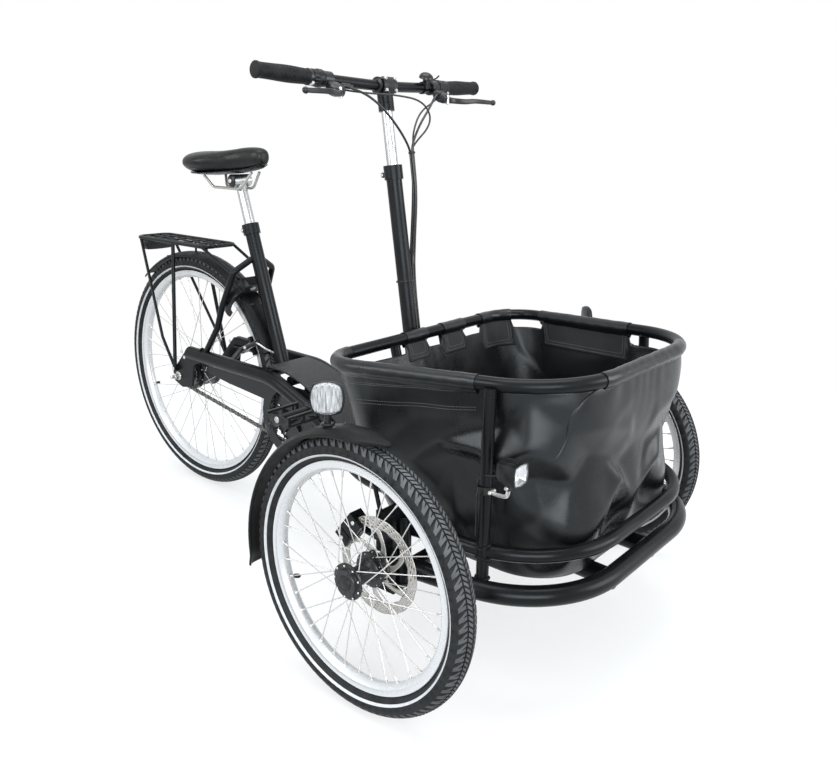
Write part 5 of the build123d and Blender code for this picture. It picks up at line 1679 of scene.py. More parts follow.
@dataclass
class PrismReflector:
    """A front mudguard's white reflector: two ribbed lens planes in a black shell on a foot."""

    side: str
    out: int
    wide: float = 0.0296
    middle: Array = field(default_factory=lambda: place(0.978, 0, 0.557))

    def build(self) -> None:
        """Makes the shell with its foot, and the lens with its fine upright prisms."""
        body = f"knuckle_{self.side}"
        lead = math.radians(40)
        normal = vec(math.sin(lead), self.out * math.cos(lead), 0.08)
        normal = unit(normal)
        right = unit(np.cross((0, 0, 1), normal)) * -self.out
        up = unit(np.cross(normal, right)) * (1 if np.cross(normal, right)[2] > 0 else -1)
        centre = self.middle + vec(0, self.out * 0.438, 0)
        u = np.linspace(-1, 1, 97)[:, None]
        v = np.linspace(-1, 1, 25)[None, :]
        across, high = soft_square(u, v)
        edge = np.maximum(np.abs(u), np.abs(v))
        dome = 0.0052 * (
            1 - smooth_step(edge, 0.80, 1.0)) - 0.004 * np.abs(u
            - 0.30) * (u > 0.30) - 0.0012 * u ** 2
        ribs = 0.0016 * np.abs(np.mod(u * 12, 1) - 0.5) * (np.abs(u - 0.30) > 0.02)
        lens = centre + (across[..., None] * right + high[..., None] * up) * self.wide * 0.94 \
            + (dome + ribs - 0.0004)[..., None] * normal
        Shell().grid(lens).piece(
            f"reflector_lens_{self.side}", WHITE_PRISM, body, [f"reflector_{self.side}"], sharp=20)
        ring_u, ring_v = soft_outline(48)
        outline = ring_u[:, None] * right + ring_v[:, None] * up
        rows = [
            (0.0, -0.0098), (0.80, -0.0098), (0.97, -0.0072), (1.0, -0.004), (1.0, 0.0004),
            (0.95, 0.0009), (0.93, -0.001), (0.0, -0.001)]
        grid = np.stack(
            [centre + outline * self.wide * size + normal * depth for size, depth in rows])
        Shell().grid(grid, wrap_v=True).rod(
            centre - up * 0.0275 - normal * 0.004, centre - up * 0.0445 - normal * 0.004, 0.006,
            20).rod(centre - up * 0.0425 - normal * 0.004, centre - up * 0.0472 - normal * 0.004,
            0.0125, 24, 0.002).piece(f"reflector_shell_{self.side}", PLASTIC, body, sharp=30)


# ---- handlebar, saddle and cords --------------------------------------------------------
def column(along: float, out: float = 0.0, side: float = 0.0) -> Array:
    """A point up the steering column, which leans back 8.9 degrees from its foot."""
    rise, run = math.cos(COLUMN_LEAN), math.sin(COLUMN_LEAN)
    return place(0.829 - along * run + out * rise, side, 0.252 + along * rise + out * run)


def soft_cord(name: str, points: Sequence[Array], diameter: float, body: str,
              replaces: Sequence[str] = ()) -> bpy.types.Object:
    """A cable as a smooth curve drawn through its route.

    The curve is a quadratic spline: each piece runs from one span's middle to the next with the
    corner between them as its control: a (1 - t)^2 + 2 b t (1 - t) + c t^2.

    Args:
        name: The piece's name.
        points: The route's corners.
        diameter: The cable's thickness.
        body: The CAD body that it rides on.
        replaces: CAD nodes that it stands for.

    Returns:
        The new curve.
    """
    route = np.array([real(p) for p in points])
    data = bpy.data.curves.new(name, "CURVE")
    data.dimensions = "3D"
    data.bevel_depth = diameter / 2
    data.bevel_resolution = 3
    data.resolution_u = 14
    data.use_fill_caps = True
    line = data.splines.new("NURBS")
    line.points.add(len(route) - 1)
    line.points.foreach_set("co", np.column_stack([route, np.ones(len(route))]).ravel())
    line.order_u = 3
    line.use_endpoint_u = True
    thing = dress(bpy.data.objects.new(name, data), CABLE_SKIN, body, replaces)
    return thing


@dataclass
class Cockpit:
    """The handlebar's fittings: grips, twist shifters, levers, bell, clamp bolts and cables."""

    body: str = "steering"
    centre: Array = field(default_factory=lambda: column(0.847))

    def end(self, side: int) -> tuple[Array, Array]:
        """The bar's end on a side and the direction inwards.

        Args:
            side: -1 for the right and 1 for the left.

        Returns:
            The end and a unit vector.
        """
        end = self.centre + vec(-0.013, side * 0.330, 0.012)
        inner = self.centre + vec(-0.004, side * 0.140, 0.003)
        return end, unit(inner - end)

    @staticmethod
    def across(way: Array) -> tuple[Array, Array]:
        """The directions out ahead of the bar and up, square to the bar."""
        up = unit(np.cross(way, np.cross((0, 0, 1), way)))
        return np.cross(up, way), up

    def skin(self, start: Array, way: Array, at: Array, radius: Array, turn: Array) -> Array:
        """A closed skin round the bar: start + way * at + radius (out cos turn + up sin turn).

        Args:
            start: A point of the bar.
            way: The bar's direction.
            at: Places along it, as a column.
            radius: The skin's radius, places by angles.
            turn: Angles, as a row.

        Returns:
            A grid of points.
        """
        out, up = self.across(way)
        return capped(start + way * at[..., None] + radius[..., None] * (
            np.cos(turn)[..., None] * out + np.sin(turn)[..., None] * up))

    def grips(self) -> None:
        """Rubber grips: a flared end, a palm swell and a diamond pattern broken by a plain band."""
        shell, rings, bolts = Shell(), Shell(), Shell()
        at = np.linspace(0, 0.122, 150)[:, None]
        turn = np.linspace(0, TAU, 72, endpoint=False)[None, :]
        radius = 0.0148 + 0.0016 * np.exp(-((at - 0.075) / 0.035) ** 2) + 0.0014 * (
            1 - smooth_step(at, 0.004, 0.009)) - 0.004 * (1 - smooth_step(at, -0.0015, 0.002))
        plain = smooth_step(np.abs(np.angle(np.exp(1j * (turn - math.pi * 1.45)))), 0.45, 0.6)
        cut = np.maximum(np.cos(turn * 9 + at * 620), np.cos(turn * 9 - at * 620))
        inside = smooth_step(at, 0.010, 0.014) * (1 - smooth_step(at, 0.112, 0.116))
        radius = radius - 0.0007 * smooth_step(cut, 0.86, 0.97) * inside * plain
        for side, _ in SIDES:
            end, way = self.end(side)
            shell.grid(self.skin(end - way * 0.0036, way, at, radius, turn), wrap_v=True)
            rings.turned(
                mm((11.3, 0), (15.8, 0), (16.4, 0.8), (16.4, 7.2), (15.8, 8), (11.3, 8)), end + way
                * 0.1185, way, 48, zero=(0, 0, 1))
            spot = end + way * 0.1225 + vec(0.006, 0, -0.0145)
            bolts.rod(spot, spot + vec(0.010, 0, 0.004), 0.003, 14, 0.0006)
        shell.piece("textured_grips", GRIP_RUBBER, self.body, ["grips"], sharp=45)
        rings.piece("grip_collars", DARK_METAL, self.body, sharp=30)
        bolts.piece("grip_bolts", STAINLESS, self.body)

    def shifters(self) -> None:
        """Twist shifters beside the grips: a ribbed sleeve, a smooth housing and a cable boss."""
        shell = Shell()
        at = np.linspace(0, 1, 60)[:, None]
        turn = np.linspace(0, TAU, 80, endpoint=False)[None, :]
        ribs = 0.0007 * smooth_step(np.cos(20 * turn), 0.1, 0.7) * smooth_step(at, 0.03, 0.08) \
            * (1 - smooth_step(at, 0.48, 0.52))
        radius = 0.0162 + ribs + 0.0018 * smooth_step(
            at, 0.52, 0.6) - 0.004 * smooth_step(at, 0.9, 1.0) ** 2
        for side, _ in SIDES:
            end, way = self.end(side)
            shell.grid(self.skin(end, way, 0.1275 + 0.0265 * at, radius, turn), wrap_v=True)
            out, up = self.across(way)
            boss = end + way * 0.146 + out * 0.0145 - up * 0.008
            shell.rod(boss, boss + way * 0.019 + out * 0.002, 0.0048, 20, 0.001)
        shell.piece("twist_shifters", PLASTIC, self.body, ["bar_controls"], sharp=35)

    def levers(self) -> None:
        """Brake levers: split clamp, rounded body under the bar, barrel adjuster and bent blade."""
        bodies, blades, bolts = Shell(), Shell(), Shell()
        for side in (-1, 1):
            end, way = self.end(side)
            near = end + way * 0.156
            clamp = mm((11.3, 0), (15.2, 0), (16.1, 1), (16.1, 21), (15.2, 22), (11.3, 22))
            bodies.turned(clamp, near, way, 48, zero=(0, 0, 1))
            root = near + way * 0.011 + vec(0.0191, 0, -0.006)
            line = eased([root - vec(0.006, 0, 0.002), root + vec(0.008, side * 0.001, -0.013),
                          root + vec(0.026, side * 0.004, -0.021)], 8)
            size = np.interp(
                np.linspace(0, 1, len(line)), [0, 0.25, 0.6, 0.9, 1], [0.7, 1.0, 1.2, 1.0, 0.55])
            bodies.tube(line, box_section(0.030, 0.0195, 0.007), scale=size)
            hood = root + vec(0.014, -side * 0.010, -0.006)
            bodies.rod(hood, hood + vec(0.004, -side * 0.020, -0.001), 0.0054, 24, 0.0012)
            bodies.rod(
                hood + vec(0.0035, -side * 0.018, -0.001), hood + vec(0.0052, -side * 0.027,
                    -0.0014), 0.0038, 18, 0.0008)
            pivot = root + vec(0.026, side * 0.004, -0.020)
            tip = end + way * 0.040 + vec(0.088, 0, -0.034)
            route = eased(
                [pivot - vec(0.004, -side * 0.002, 0), pivot + vec(0.012, side * 0.010, -0.002),
                    pivot + vec(0.024, side * 0.034, -0.003), (pivot + tip) / 2 + vec(0.013, 0, 0),
                    tip - unit(tip - pivot) * 0.014 + vec(0.003, 0, 0), tip], 12)
            size = np.interp(
                np.linspace(0, 1, len(route)), [0, 0.15, 0.4, 0.75, 0.9, 1],
                [1.25, 1.1, 1.0, 0.85, 0.8, 0.8])
            blades.tube(route, box_section(0.0062, 0.0118, 0.0026), scale=size)
            blades.egg(tip, (0.0066, 0.0066, 0.0066), 12, 20)
            bolts.rod(pivot + vec(0, 0, -0.0105), pivot + vec(0, 0, 0.0105), 0.0036, 18, 0.0008)
            spot = near + way * 0.011 + vec(0.0140, 0, -0.0155)
            bolts.rod(spot, spot + vec(0.0075, 0, -0.003), 0.003, 14, 0.0006)
        bodies.piece("lever_bodies", DARK_METAL, self.body, ["brake_levers"], sharp=32)
        blades.piece("lever_blades", DARK_METAL, self.body, sharp=40)
        bolts.piece("lever_bolts", STAINLESS, self.body)

    def bell(self) -> None:
        """The bell on the left of the bar: a black dome on a band, with its thumb striker."""
        end, way = self.end(1)
        band = end + way * 0.196
        Shell().turned(
            mm((11.2, 0), (13.5, 0), (13.5, 9), (11.2, 9)), band, way, 40, zero=(0, 0, 1)).rod(band
            + way * 0.0045 + vec(0.004, 0, 0.012), band + way * 0.0045 + vec(0.010, 0, 0.020),
            0.0042).piece("bell_band", PLASTIC, self.body, sharp=30)
        base = band + way * 0.0045 + vec(0.010, 0, 0.0185)
        dome = mm(
            (0, 15), (5, 14.6), (10, 12.8), (14.2, 9.5), (16.2, 5), (16.8, 1), (16.8, 0), (16, 0),
            (15.8, 4), (13, 8), (0, 12))
        Shell().turned(dome, base, (0.35, 0, 0.94), 56, zero=(0, 1, 0)).piece(
            "bell_dome", DARK_METAL, self.body, sharp=35)
        striker = eased([base + vec(0.010, 0.0135, -0.0005), base + vec(0.018, 0.0155, 0.003),
                         base + vec(0.0235, 0.0175, 0.0085)], 8)
        Shell().tube(striker, box_section(0.006, 0.0022, 0.0008)).piece(
            "bell_striker", PLASTIC, self.body)

    def clamp(self) -> None:
        """The stem's face plate with its four bolts, the hinge caps and the height clamp's bolt."""
        plate, bolts = Shell(), Shell()
        ahead = column(0, 1) - column(0)
        rise = column(1) - column(0)
        turn = np.radians(np.linspace(-52, 52, 22))[:, None]
        for near, far in ((0.0181, 0.0215),):
            for radius in (near, far):
                across = np.linspace(-0.0205, 0.0205, 9)[None, :]
                skin = self.centre + (
                    radius * np.cos(turn))[..., None] * ahead + (radius * np.sin(turn))[...,
                    None] * rise + across[..., None] * vec(0, 1, 0)
                plate.grid(skin)
        rim = mm((0, 3.5), (12.5, 3.5), (15.5, 2.2), (16.5, 0))
        for side in (-1, 1):
            plate.turned(rim, self.centre + vec(0, side * 0.0219, 0), (0, side, 0), 48)
            for up in (-0.012, 0.012):
                spot = self.centre + ahead * 0.0185 + rise * up + vec(0, side * 0.0145, 0)
                bolts.turned(
                    mm((0, 1.8), (1.4, 1.8), (1.5, 4.2), (2.9, 4.2), (3.3, 3.6), (3.3, 0), (0, 0)),
                    spot, ahead, 16, zero=(0, 1, 0))
        plate.piece("stem_face_plate", DARK_METAL, self.body, sharp=35)
        spot = column(0.662, -0.0235)
        lug = Shell().pin(spot, 0.011, 0.0058, 24, 0.001)
        lug.piece("stem_clamp_lug", DARK_METAL, self.body, sharp=35)
        bolts.pin(spot, 0.0128, 0.0035, 16, 0.0006)
        bolts.piece("stem_bolts", STAINLESS, self.body, sharp=30)
        seam = mm((17.1, -0.6), (17.8, -0.4), (17.8, 0.6), (17.1, 0.8))
        Shell().turned(seam, column(0.648), rise, 48, zero=(0, 1, 0)).piece(
            "column_collar_seam", PLASTIC, self.body)

    def cables(self) -> None:
        """The brake cables down the column's left, two slimmer ones beside them, and their ties."""
        x, z = self.centre[0], self.centre[2]
        down = [
            (0.714, 0.038, 0.021), (0.690, 0.038, 0.021), (0.610, 0.036, 0.022),
            (0.520, 0.014, 0.0235), (0.440, 0.0, 0.0198), (0.0643, 0.0, 0.0198)]
        for side, label in SIDES:
            shift = side * 0.0029
            loop = [
                (0.024, 0.1552 * side, -0.007), (0.042, 0.122 * side, -0.013),
                (0.062, 0.082 * side, -0.038), (0.066, 0.034 * side + 0.004, -0.082)]
            route = [vec(x + a, b, z + c) for a, b, c in loop]
            route += [column(along, out + shift, left) for along, out, left in down]
            soft_cord(
                f"brake_cable_curve_{label}", route, 0.005, self.body, [f"brake_cable_{label}"])
        wide = [
            (0.0165, -0.163, -0.013), (0.038, -0.110, -0.020), (0.062, -0.030, -0.020),
            (0.082, 0.036, -0.030), (0.086, 0.062, -0.074)]
        short = [
            (0.0165, 0.163, -0.013), (0.036, 0.128, -0.026), (0.042, 0.070, -0.050),
            (0.052, 0.036, -0.092)]
        for side, label, loop in ((-1, "right", wide), (1, "left", short)):
            route = [vec(x + a, b, z + c) for a, b, c in loop]
            route += [
                column(along, out + step * side, left) for along, out, step,
                left in ((0.714, 0.038, 0.0028, 0.0256), (0.690, 0.038, 0.0028, 0.0256),
                    (0.615, 0.032, 0.006, 0.0265), (0.520, 0.012, 0.006, 0.0275),
                    (0.440, 0.0, 0.0075, 0.0235), (0.300, 0.0, 0.0075, 0.0218),
                    (0.085, 0.0, 0.0075, 0.0215))]
            soft_cord(f"shift_cable_{label}", route, 0.004, self.body)
        ties = Shell()
        turn = np.linspace(0, TAU, 48, endpoint=False)
        bundle = np.array(
            [column(0.702, 0.038 + 0.0072 * math.cos(a), 0.0232 + 0.0062 * math.sin(a))
                for a in turn])
        ties.tube(
            bundle, box_section(0.0012, 0.0042, 0.0004, 3), up=column(1) - column(0), closed=True)
        for along in (0.140, 0.290, 0.430):
            route = np.array(
                [column(along, 0.0184 * math.cos(a) * (1 - 0.12 * math.sin(a)),
                    0.0184 * math.sin(a) + 0.0072 * max(math.sin(a), 0) ** 3) for a in turn])
            ties.tube(
                route, box_section(0.0012, 0.0042, 0.0004, 3), up=column(1) - column(0),
                closed=True)
        ties.piece("cable_ties", PLASTIC, self.body)

    def build(self) -> None:
        """Makes everything on the handlebar."""
        self.grips()
        self.shifters()
        self.levers()
        self.bell()
        self.clamp()
        self.cables()


@dataclass
class Seat:
    """The saddle's padded cover, its underside plate and clamp, and the seat tube's collar."""

    body: str = "frame"
    middle: float = 0.1993
    top: float = 0.863

    def cover(self) -> None:
        """The cover: lofted rounded sections, crowned on top, tucked in low and hollowed behind."""
        plan = mm(
            (-153, 20, 31, 55), (-148, 47, 23, 63), (-137, 70, 18, 68), (-115, 88, 15.5, 72.5),
            (-85, 92.5, 16.5, 74.5), (-55, 87, 19, 75.5), (-25, 69, 21.5, 77.5),
            (4, 47, 24.5, 81.5), (32, 34, 28.5, 85.5), (58, 27.5, 33, 87.2), (80, 23.5, 38, 86.2),
            (93, 18.5, 43, 82.5), (99.5, 12, 49, 76.5), (101, 5, 55, 70))
        loft = eased(plan, 7)
        turn = np.linspace(0, TAU, 64, endpoint=False)[None, :]
        x, half, low, high = (loft[:, k:k + 1] for k in range(4))
        power = 0.72
        c, s = np.cos(turn), np.sin(turn)
        across = np.sign(c) * np.abs(c) ** power * half
        tuck = np.where(s < 0, 1 - 0.22 * np.abs(s) ** 1.2, 1.0)
        rise = np.sign(s) * np.abs(s) ** (power + 0.1)
        height = (high + low) / 2 + rise * (high - low) / 2
        groove = 0.0035 * np.exp(
            -(across / 0.012) ** 2) * smooth_step(-x, -0.03, 0.05) * np.clip(s, 0, 1)
        seam = 0.0007 * np.exp(-((s + 0.30) / 0.05) ** 2)
        across = across * tuck * (1 - seam * 12)
        grid = np.stack([np.broadcast_to(x, across.shape), across, height - groove], -1) + place(
            self.middle, 0, self.top)
        cover = Shell().grid(capped(grid), wrap_v=True).piece(
            "saddle_padded_cover", SADDLE_COVER, self.body, ["saddle"], sharp=70)
        under = plan[2:-2].copy()
        line = place(self.middle, 0, self.top) + np.stack(
            [under[:, 0], 0 * under[:, 0], under[:, 2] + 0.004], -1)
        side = np.linspace(-1, 1, 21)
        width = (under[:, 1] * 0.72)[:, None] * side[None, :]
        dish = line[:, None, :] + np.stack(
            [0 * width, width, -0.0055 * np.cos(side * math.pi / 2)[None, :] + 0 * width], -1)
        thicken(
            Shell().grid(dish).piece("saddle_underplate", PLASTIC, self.body, sharp=60), 0.002, -1)

    def collar(self) -> None:
        """The seat tube's collar with its lug and bolt behind, and the saddle clamp's bolt."""
        lean = SEAT_LEAN
        way = vec(-math.sin(lean), 0, math.cos(lean))
        head = place(self.middle, 0, self.top) - way * (0.108 / math.cos(lean))
        ring = mm((17.6, -15.5), (20.3, -15.5), (21, -14.8), (21, 0.8), (20.3, 1.6), (14, 1.6))
        back = vec(-math.cos(lean), 0, -math.sin(lean))
        lug = head + back * 0.0240 - way * 0.007
        Shell().turned(ring, head, way, 56, zero=(0, 1, 0)).rod(
            lug - vec(0, 0.0095, 0), lug + vec(0, 0.0095, 0), 0.0062, 24,
            0.001).piece("seat_collar", DARK_METAL, self.body, sharp=32)
        bolt = Shell().pin(lug, 0.0125, 0.0040, 18, 0.0008)
        yoke = place(self.middle, 0, self.top + 0.003)
        bolt.pin(yoke, 0.0335, 0.0055, 18, 0.001)
        bolt.piece("seat_bolts", STAINLESS, self.body)
        bolt = Shell()
        for side in (-1, 1):
            bolt.turned(mm((0, 4), (10, 4), (13.5, 2.5), (16, 0), (16, -3)),
                            yoke + vec(0, side * 0.0262, 0), (0, side, 0), 40)
        bolt.piece("saddle_clamp_caps", DARK_METAL, self.body, sharp=32)

    def build(self) -> None:
        """Makes the saddle and the collar."""
        self.cover()
        self.collar()


# ---- cranks, pedals and chain -----------------------------------------------------------
@dataclass
class Drive:
    """The chainring's teeth, crank caps, pedals, chain links and the guard's rolled edge."""

    bracket: Array = field(default_factory=lambda: place(0.440, 0, 0.298))
    ring_r: float = 0.076
    sprocket_r: float = 0.038
    chain_y: float = -0.046
    crank: float = 0.165
    angle: float = math.radians(27)
    teeth: int = 36

    def __post_init__(self) -> None:
        """Works out the belt round both rings: the rear middle, the slope and the runs' lean."""
        self.rear = place(0, 0, REAR_TYRE_R)
        gap = self.bracket - self.rear
        self.slope = math.atan2(gap[2], gap[0])
        self.lean = math.asin((self.ring_r - self.sprocket_r) / math.hypot(gap[0], gap[2]))

    def ring(self) -> None:
        """The chainring: a toothed band with five arms and bolts, and the cranks' domed caps.

        A tooth stands halfway between rollers: height = rise(-cos(teeth * (angle - first roller))).
        """
        n = 8 * self.teeth
        at = np.arange(n) / n * TAU
        first = self.slope + math.pi / 2 + self.lean
        tip = self.ring_r - 0.0046 + 0.0034 * smooth_step(
            -np.cos(self.teeth * (at - first)), -0.5, 0.6)
        inner = 0.0585 + 0.0016 * np.cos(5 * at) ** 4
        rows = []
        for radius, y in (
                (inner, -0.0013), (tip - 0.004, -0.0013), (tip, -0.0008), (tip, 0.0008),
                (tip - 0.004, 0.0013), (inner, 0.0013)):
            rows.append(
                np.stack([radius * np.cos(at), np.full(n, self.chain_y + y), radius * np.sin(at)],
                    -1))
        shell = Shell().grid(np.stack(rows, 1) + self.bracket, wrap_u=True, wrap_v=True)
        caps, bolts = Shell(), Shell()
        for k in range(5):
            a = k * TAU / 5 + 0.3
            way = vec(math.cos(a), 0, math.sin(a))
            spot = self.bracket + vec(0, self.chain_y, 0)
            route = np.linspace(spot + way * 0.012, spot + way * 0.062, 10)
            size = np.linspace(1.25, 0.8, 10)
            shell.tube(route, box_section(0.004, 0.016, 0.0015), up=(0, 1, 0.01), scale=size)
            bolts.rod(
                spot + way * 0.0605 - vec(0, 0.0035, 0), spot + way * 0.0605 + vec(0, 0.0035, 0),
                0.0042, 16, 0.0008)
        for side in (-1, 1):
            dome = mm((0, 3.6), (6, 3.2), (9.5, 2), (10.5, 0), (10.5, -1))
            caps.turned(dome, self.bracket + vec(0, side * 0.1286, 0), (0, side, 0), 32)
            way = vec(math.cos(self.angle), 0, math.sin(self.angle)) * (-side)
            spot = self.bracket + way * self.crank + vec(0, side * 0.128, 0)
            caps.turned(mm((0, 0), (0, 0.6), (9.2, 0.6), (10.4, 0)), spot, (0, side, 0), 32)
        shell.piece("toothed_chainring", DARK_METAL, "crank", sharp=28)
        caps.piece("crank_caps", DARK_METAL, "crank", sharp=32)
        bolts.piece("chainring_bolts", STAINLESS, "crank")

    def links(self) -> None:
        """The chain: waisted side plates, narrow and wide in turn, with a roller at every pin.

        The path is the belt round both rings: two tangent runs and two arcs, with the pins evenly
        spaced along it. A plate's outline is 4.1 mm round each pin and 2.9 mm at the waist.
        """
        up, down = self.slope + math.pi / 2 + self.lean, self.slope - math.pi / 2 - self.lean
        front_arc = np.linspace(up, down, 40)
        rear_arc = np.linspace(down, up - TAU, 30)
        path = np.concatenate(
            [self.bracket + self.ring_r
                * np.stack([np.cos(front_arc), 0 * front_arc, np.sin(front_arc)], -1), self.rear
                + self.sprocket_r * np.stack([np.cos(rear_arc), 0 * rear_arc, np.sin(rear_arc)],
                -1)])
        path[:, 1] = self.chain_y
        whole = float(
            np.linalg.norm(np.diff(np.concatenate([path, path[:1]]), axis=0), axis=1).sum())
        pins = resample(
            path, whole / (2 * round(whole * self.teeth / (TAU * self.ring_r) / 2)), closed=True)
        plates, rollers = Shell(), Shell()
        t = np.linspace(0, TAU, 20, endpoint=False)
        for k, (a, b) in enumerate(zip(pins, np.roll(pins, -1, axis=0))):
            way = unit(b - a)
            high = np.array([-way[2], 0, way[0]])
            reach = np.linalg.norm(b - a) / 2
            along = np.cos(t) * (reach + 0.0041)
            tall = np.sign(np.sin(t)) * np.abs(np.sin(t)) ** 0.7 * (
                0.0041 - 0.0012 * np.exp(-(along / 0.003) ** 2))
            outline = (a + b) / 2 + along[:, None] * way + tall[:, None] * high
            out = 0.0037 if k % 2 else 0.0025
            for side in (-1, 1):
                rows = [outline + vec(0, side * out + dy, 0) for dy in (-0.0005, 0.0005)]
                plates.grid(capped(np.stack(rows)), wrap_v=True)
            rollers.turned(
                mm((0, -4.2), (1.7, -4.2), (1.8, -2.1), (3.7, -2), (3.7, 2), (1.8, 2.1),
                    (1.7, 4.2), (0, 4.2)), a, (0, 1, 0), 10)
        plates.piece("chain_plates", CHAIN_STEEL, "frame", ["chain"], sharp=50)
        rollers.piece("chain_rollers", STEEL, "frame", sharp=50)

    def guard_edge(self) -> None:
        """The chain guard's rolled edge along its top and round the chainring."""
        y = -0.0590
        top = np.array(
            [(0.112, y, 0.352), (0.112, y, 0.374), (0.140, y, 0.3765), (0.300, y, 0.3765),
                (0.420, y, 0.3765)])
        turn = np.radians(np.linspace(60, -186, 60))
        hoop = np.stack(
            [0.440 + 0.103 * np.cos(turn), np.full_like(turn, y), 0.298 + 0.103 * np.sin(turn)], -1)
        hoop = hoop[hoop[:, 2] < 0.3765]
        shift = vec(CENTRE_X, 0, 0)
        shell = Shell().tube(
            resample(hoop - shift, 0.006), box_section(0.0042, 0.0026, 0.001), up=(0, 1, 0))
        shell.tube(
            resample(top[1:4] - shift, 0.02), box_section(0.0042, 0.0026, 0.001), up=(0, 1, 0))
        shell.piece("chain_guard_edge", PLASTIC, "frame", sharp=45)

    def pedals(self) -> None:
        """Pedals: a barrel round the spindle, side rails with raised grip bars, and end plates."""
        for side, label in SIDES:
            way = vec(math.cos(self.angle), 0, math.sin(self.angle)) * (-side)
            axle = self.bracket + way * self.crank
            inner = side * 0.1323
            outer = side * 0.2239
            shell, grips, steel = Shell(), Shell(), Shell()
            shell.rod(axle + vec(0, inner, 0), axle + vec(0, outer, 0), 0.0092, 28, 0.0012)
            for x in (-0.0345, 0.0345):
                for z in (-0.0088, 0.0088):
                    run = np.linspace(axle + vec(x, inner, z), axle + vec(x, outer, z), 4)
                    shell.tube(run, box_section(0.0088, 0.0055, 0.0018))
                for y in (0.0, 0.5, 1.0):
                    spot = axle + vec(x, inner + (outer - inner) * (0.06 + 0.88 * y), 0)
                    shell.tube(np.linspace(spot - vec(0, 0, 0.009), spot + vec(0, 0, 0.009), 3),
                               box_section(0.0085, 0.0065, 0.0012), up=(0, 1, 0))
                for z in (-0.0117, 0.0117):
                    run = np.linspace(axle + vec(x, inner * 0.99 + outer * 0.01, z),
                                      axle + vec(x, inner * 0.01 + outer * 0.99, z), 60)
                    teeth = 1 + 0.16 * (np.arange(60) % 3 == 0)
                    grips.tube(run, box_section(0.0062, 0.0017, 0.0005, 3), scale=teeth)
            for y in (inner + side * 0.003, outer - side * 0.003):
                run = np.linspace(axle + vec(-0.038, y, 0), axle + vec(0.038, y, 0), 21)
                size = np.interp(
                    np.abs(run[:, 0] - axle[0]), [0, 0.012, 0.026, 0.038], [1.0, 0.92, 0.62, 0.9])
                shell.tube(run, box_section(0.0058, 0.0225, 0.0018), scale=size)
            steel.turned(mm((0, 1.6), (6, 1.4), (7.5, 0.4), (7.5, -1)),
                         axle + vec(0, outer, 0), (0, side, 0), 28)
            steel.rod(axle + vec(0, side * 0.1285, 0), axle + vec(0, inner, 0), 0.0068, 20, 0.0006)
            shell.piece(
                f"pedal_cage_{label}", PLASTIC, f"pedal_{label}", [f"pedal_{label}"], sharp=35)
            grips.piece(f"pedal_grips_{label}", LIGHT_PAD, f"pedal_{label}", sharp=45)
            steel.piece(f"pedal_spindle_{label}", STEEL, f"pedal_{label}", sharp=35)

    def build(self) -> None:
        """Makes the whole drive."""
        self.ring()
        self.links()
        self.guard_edge()
        self.pedals()


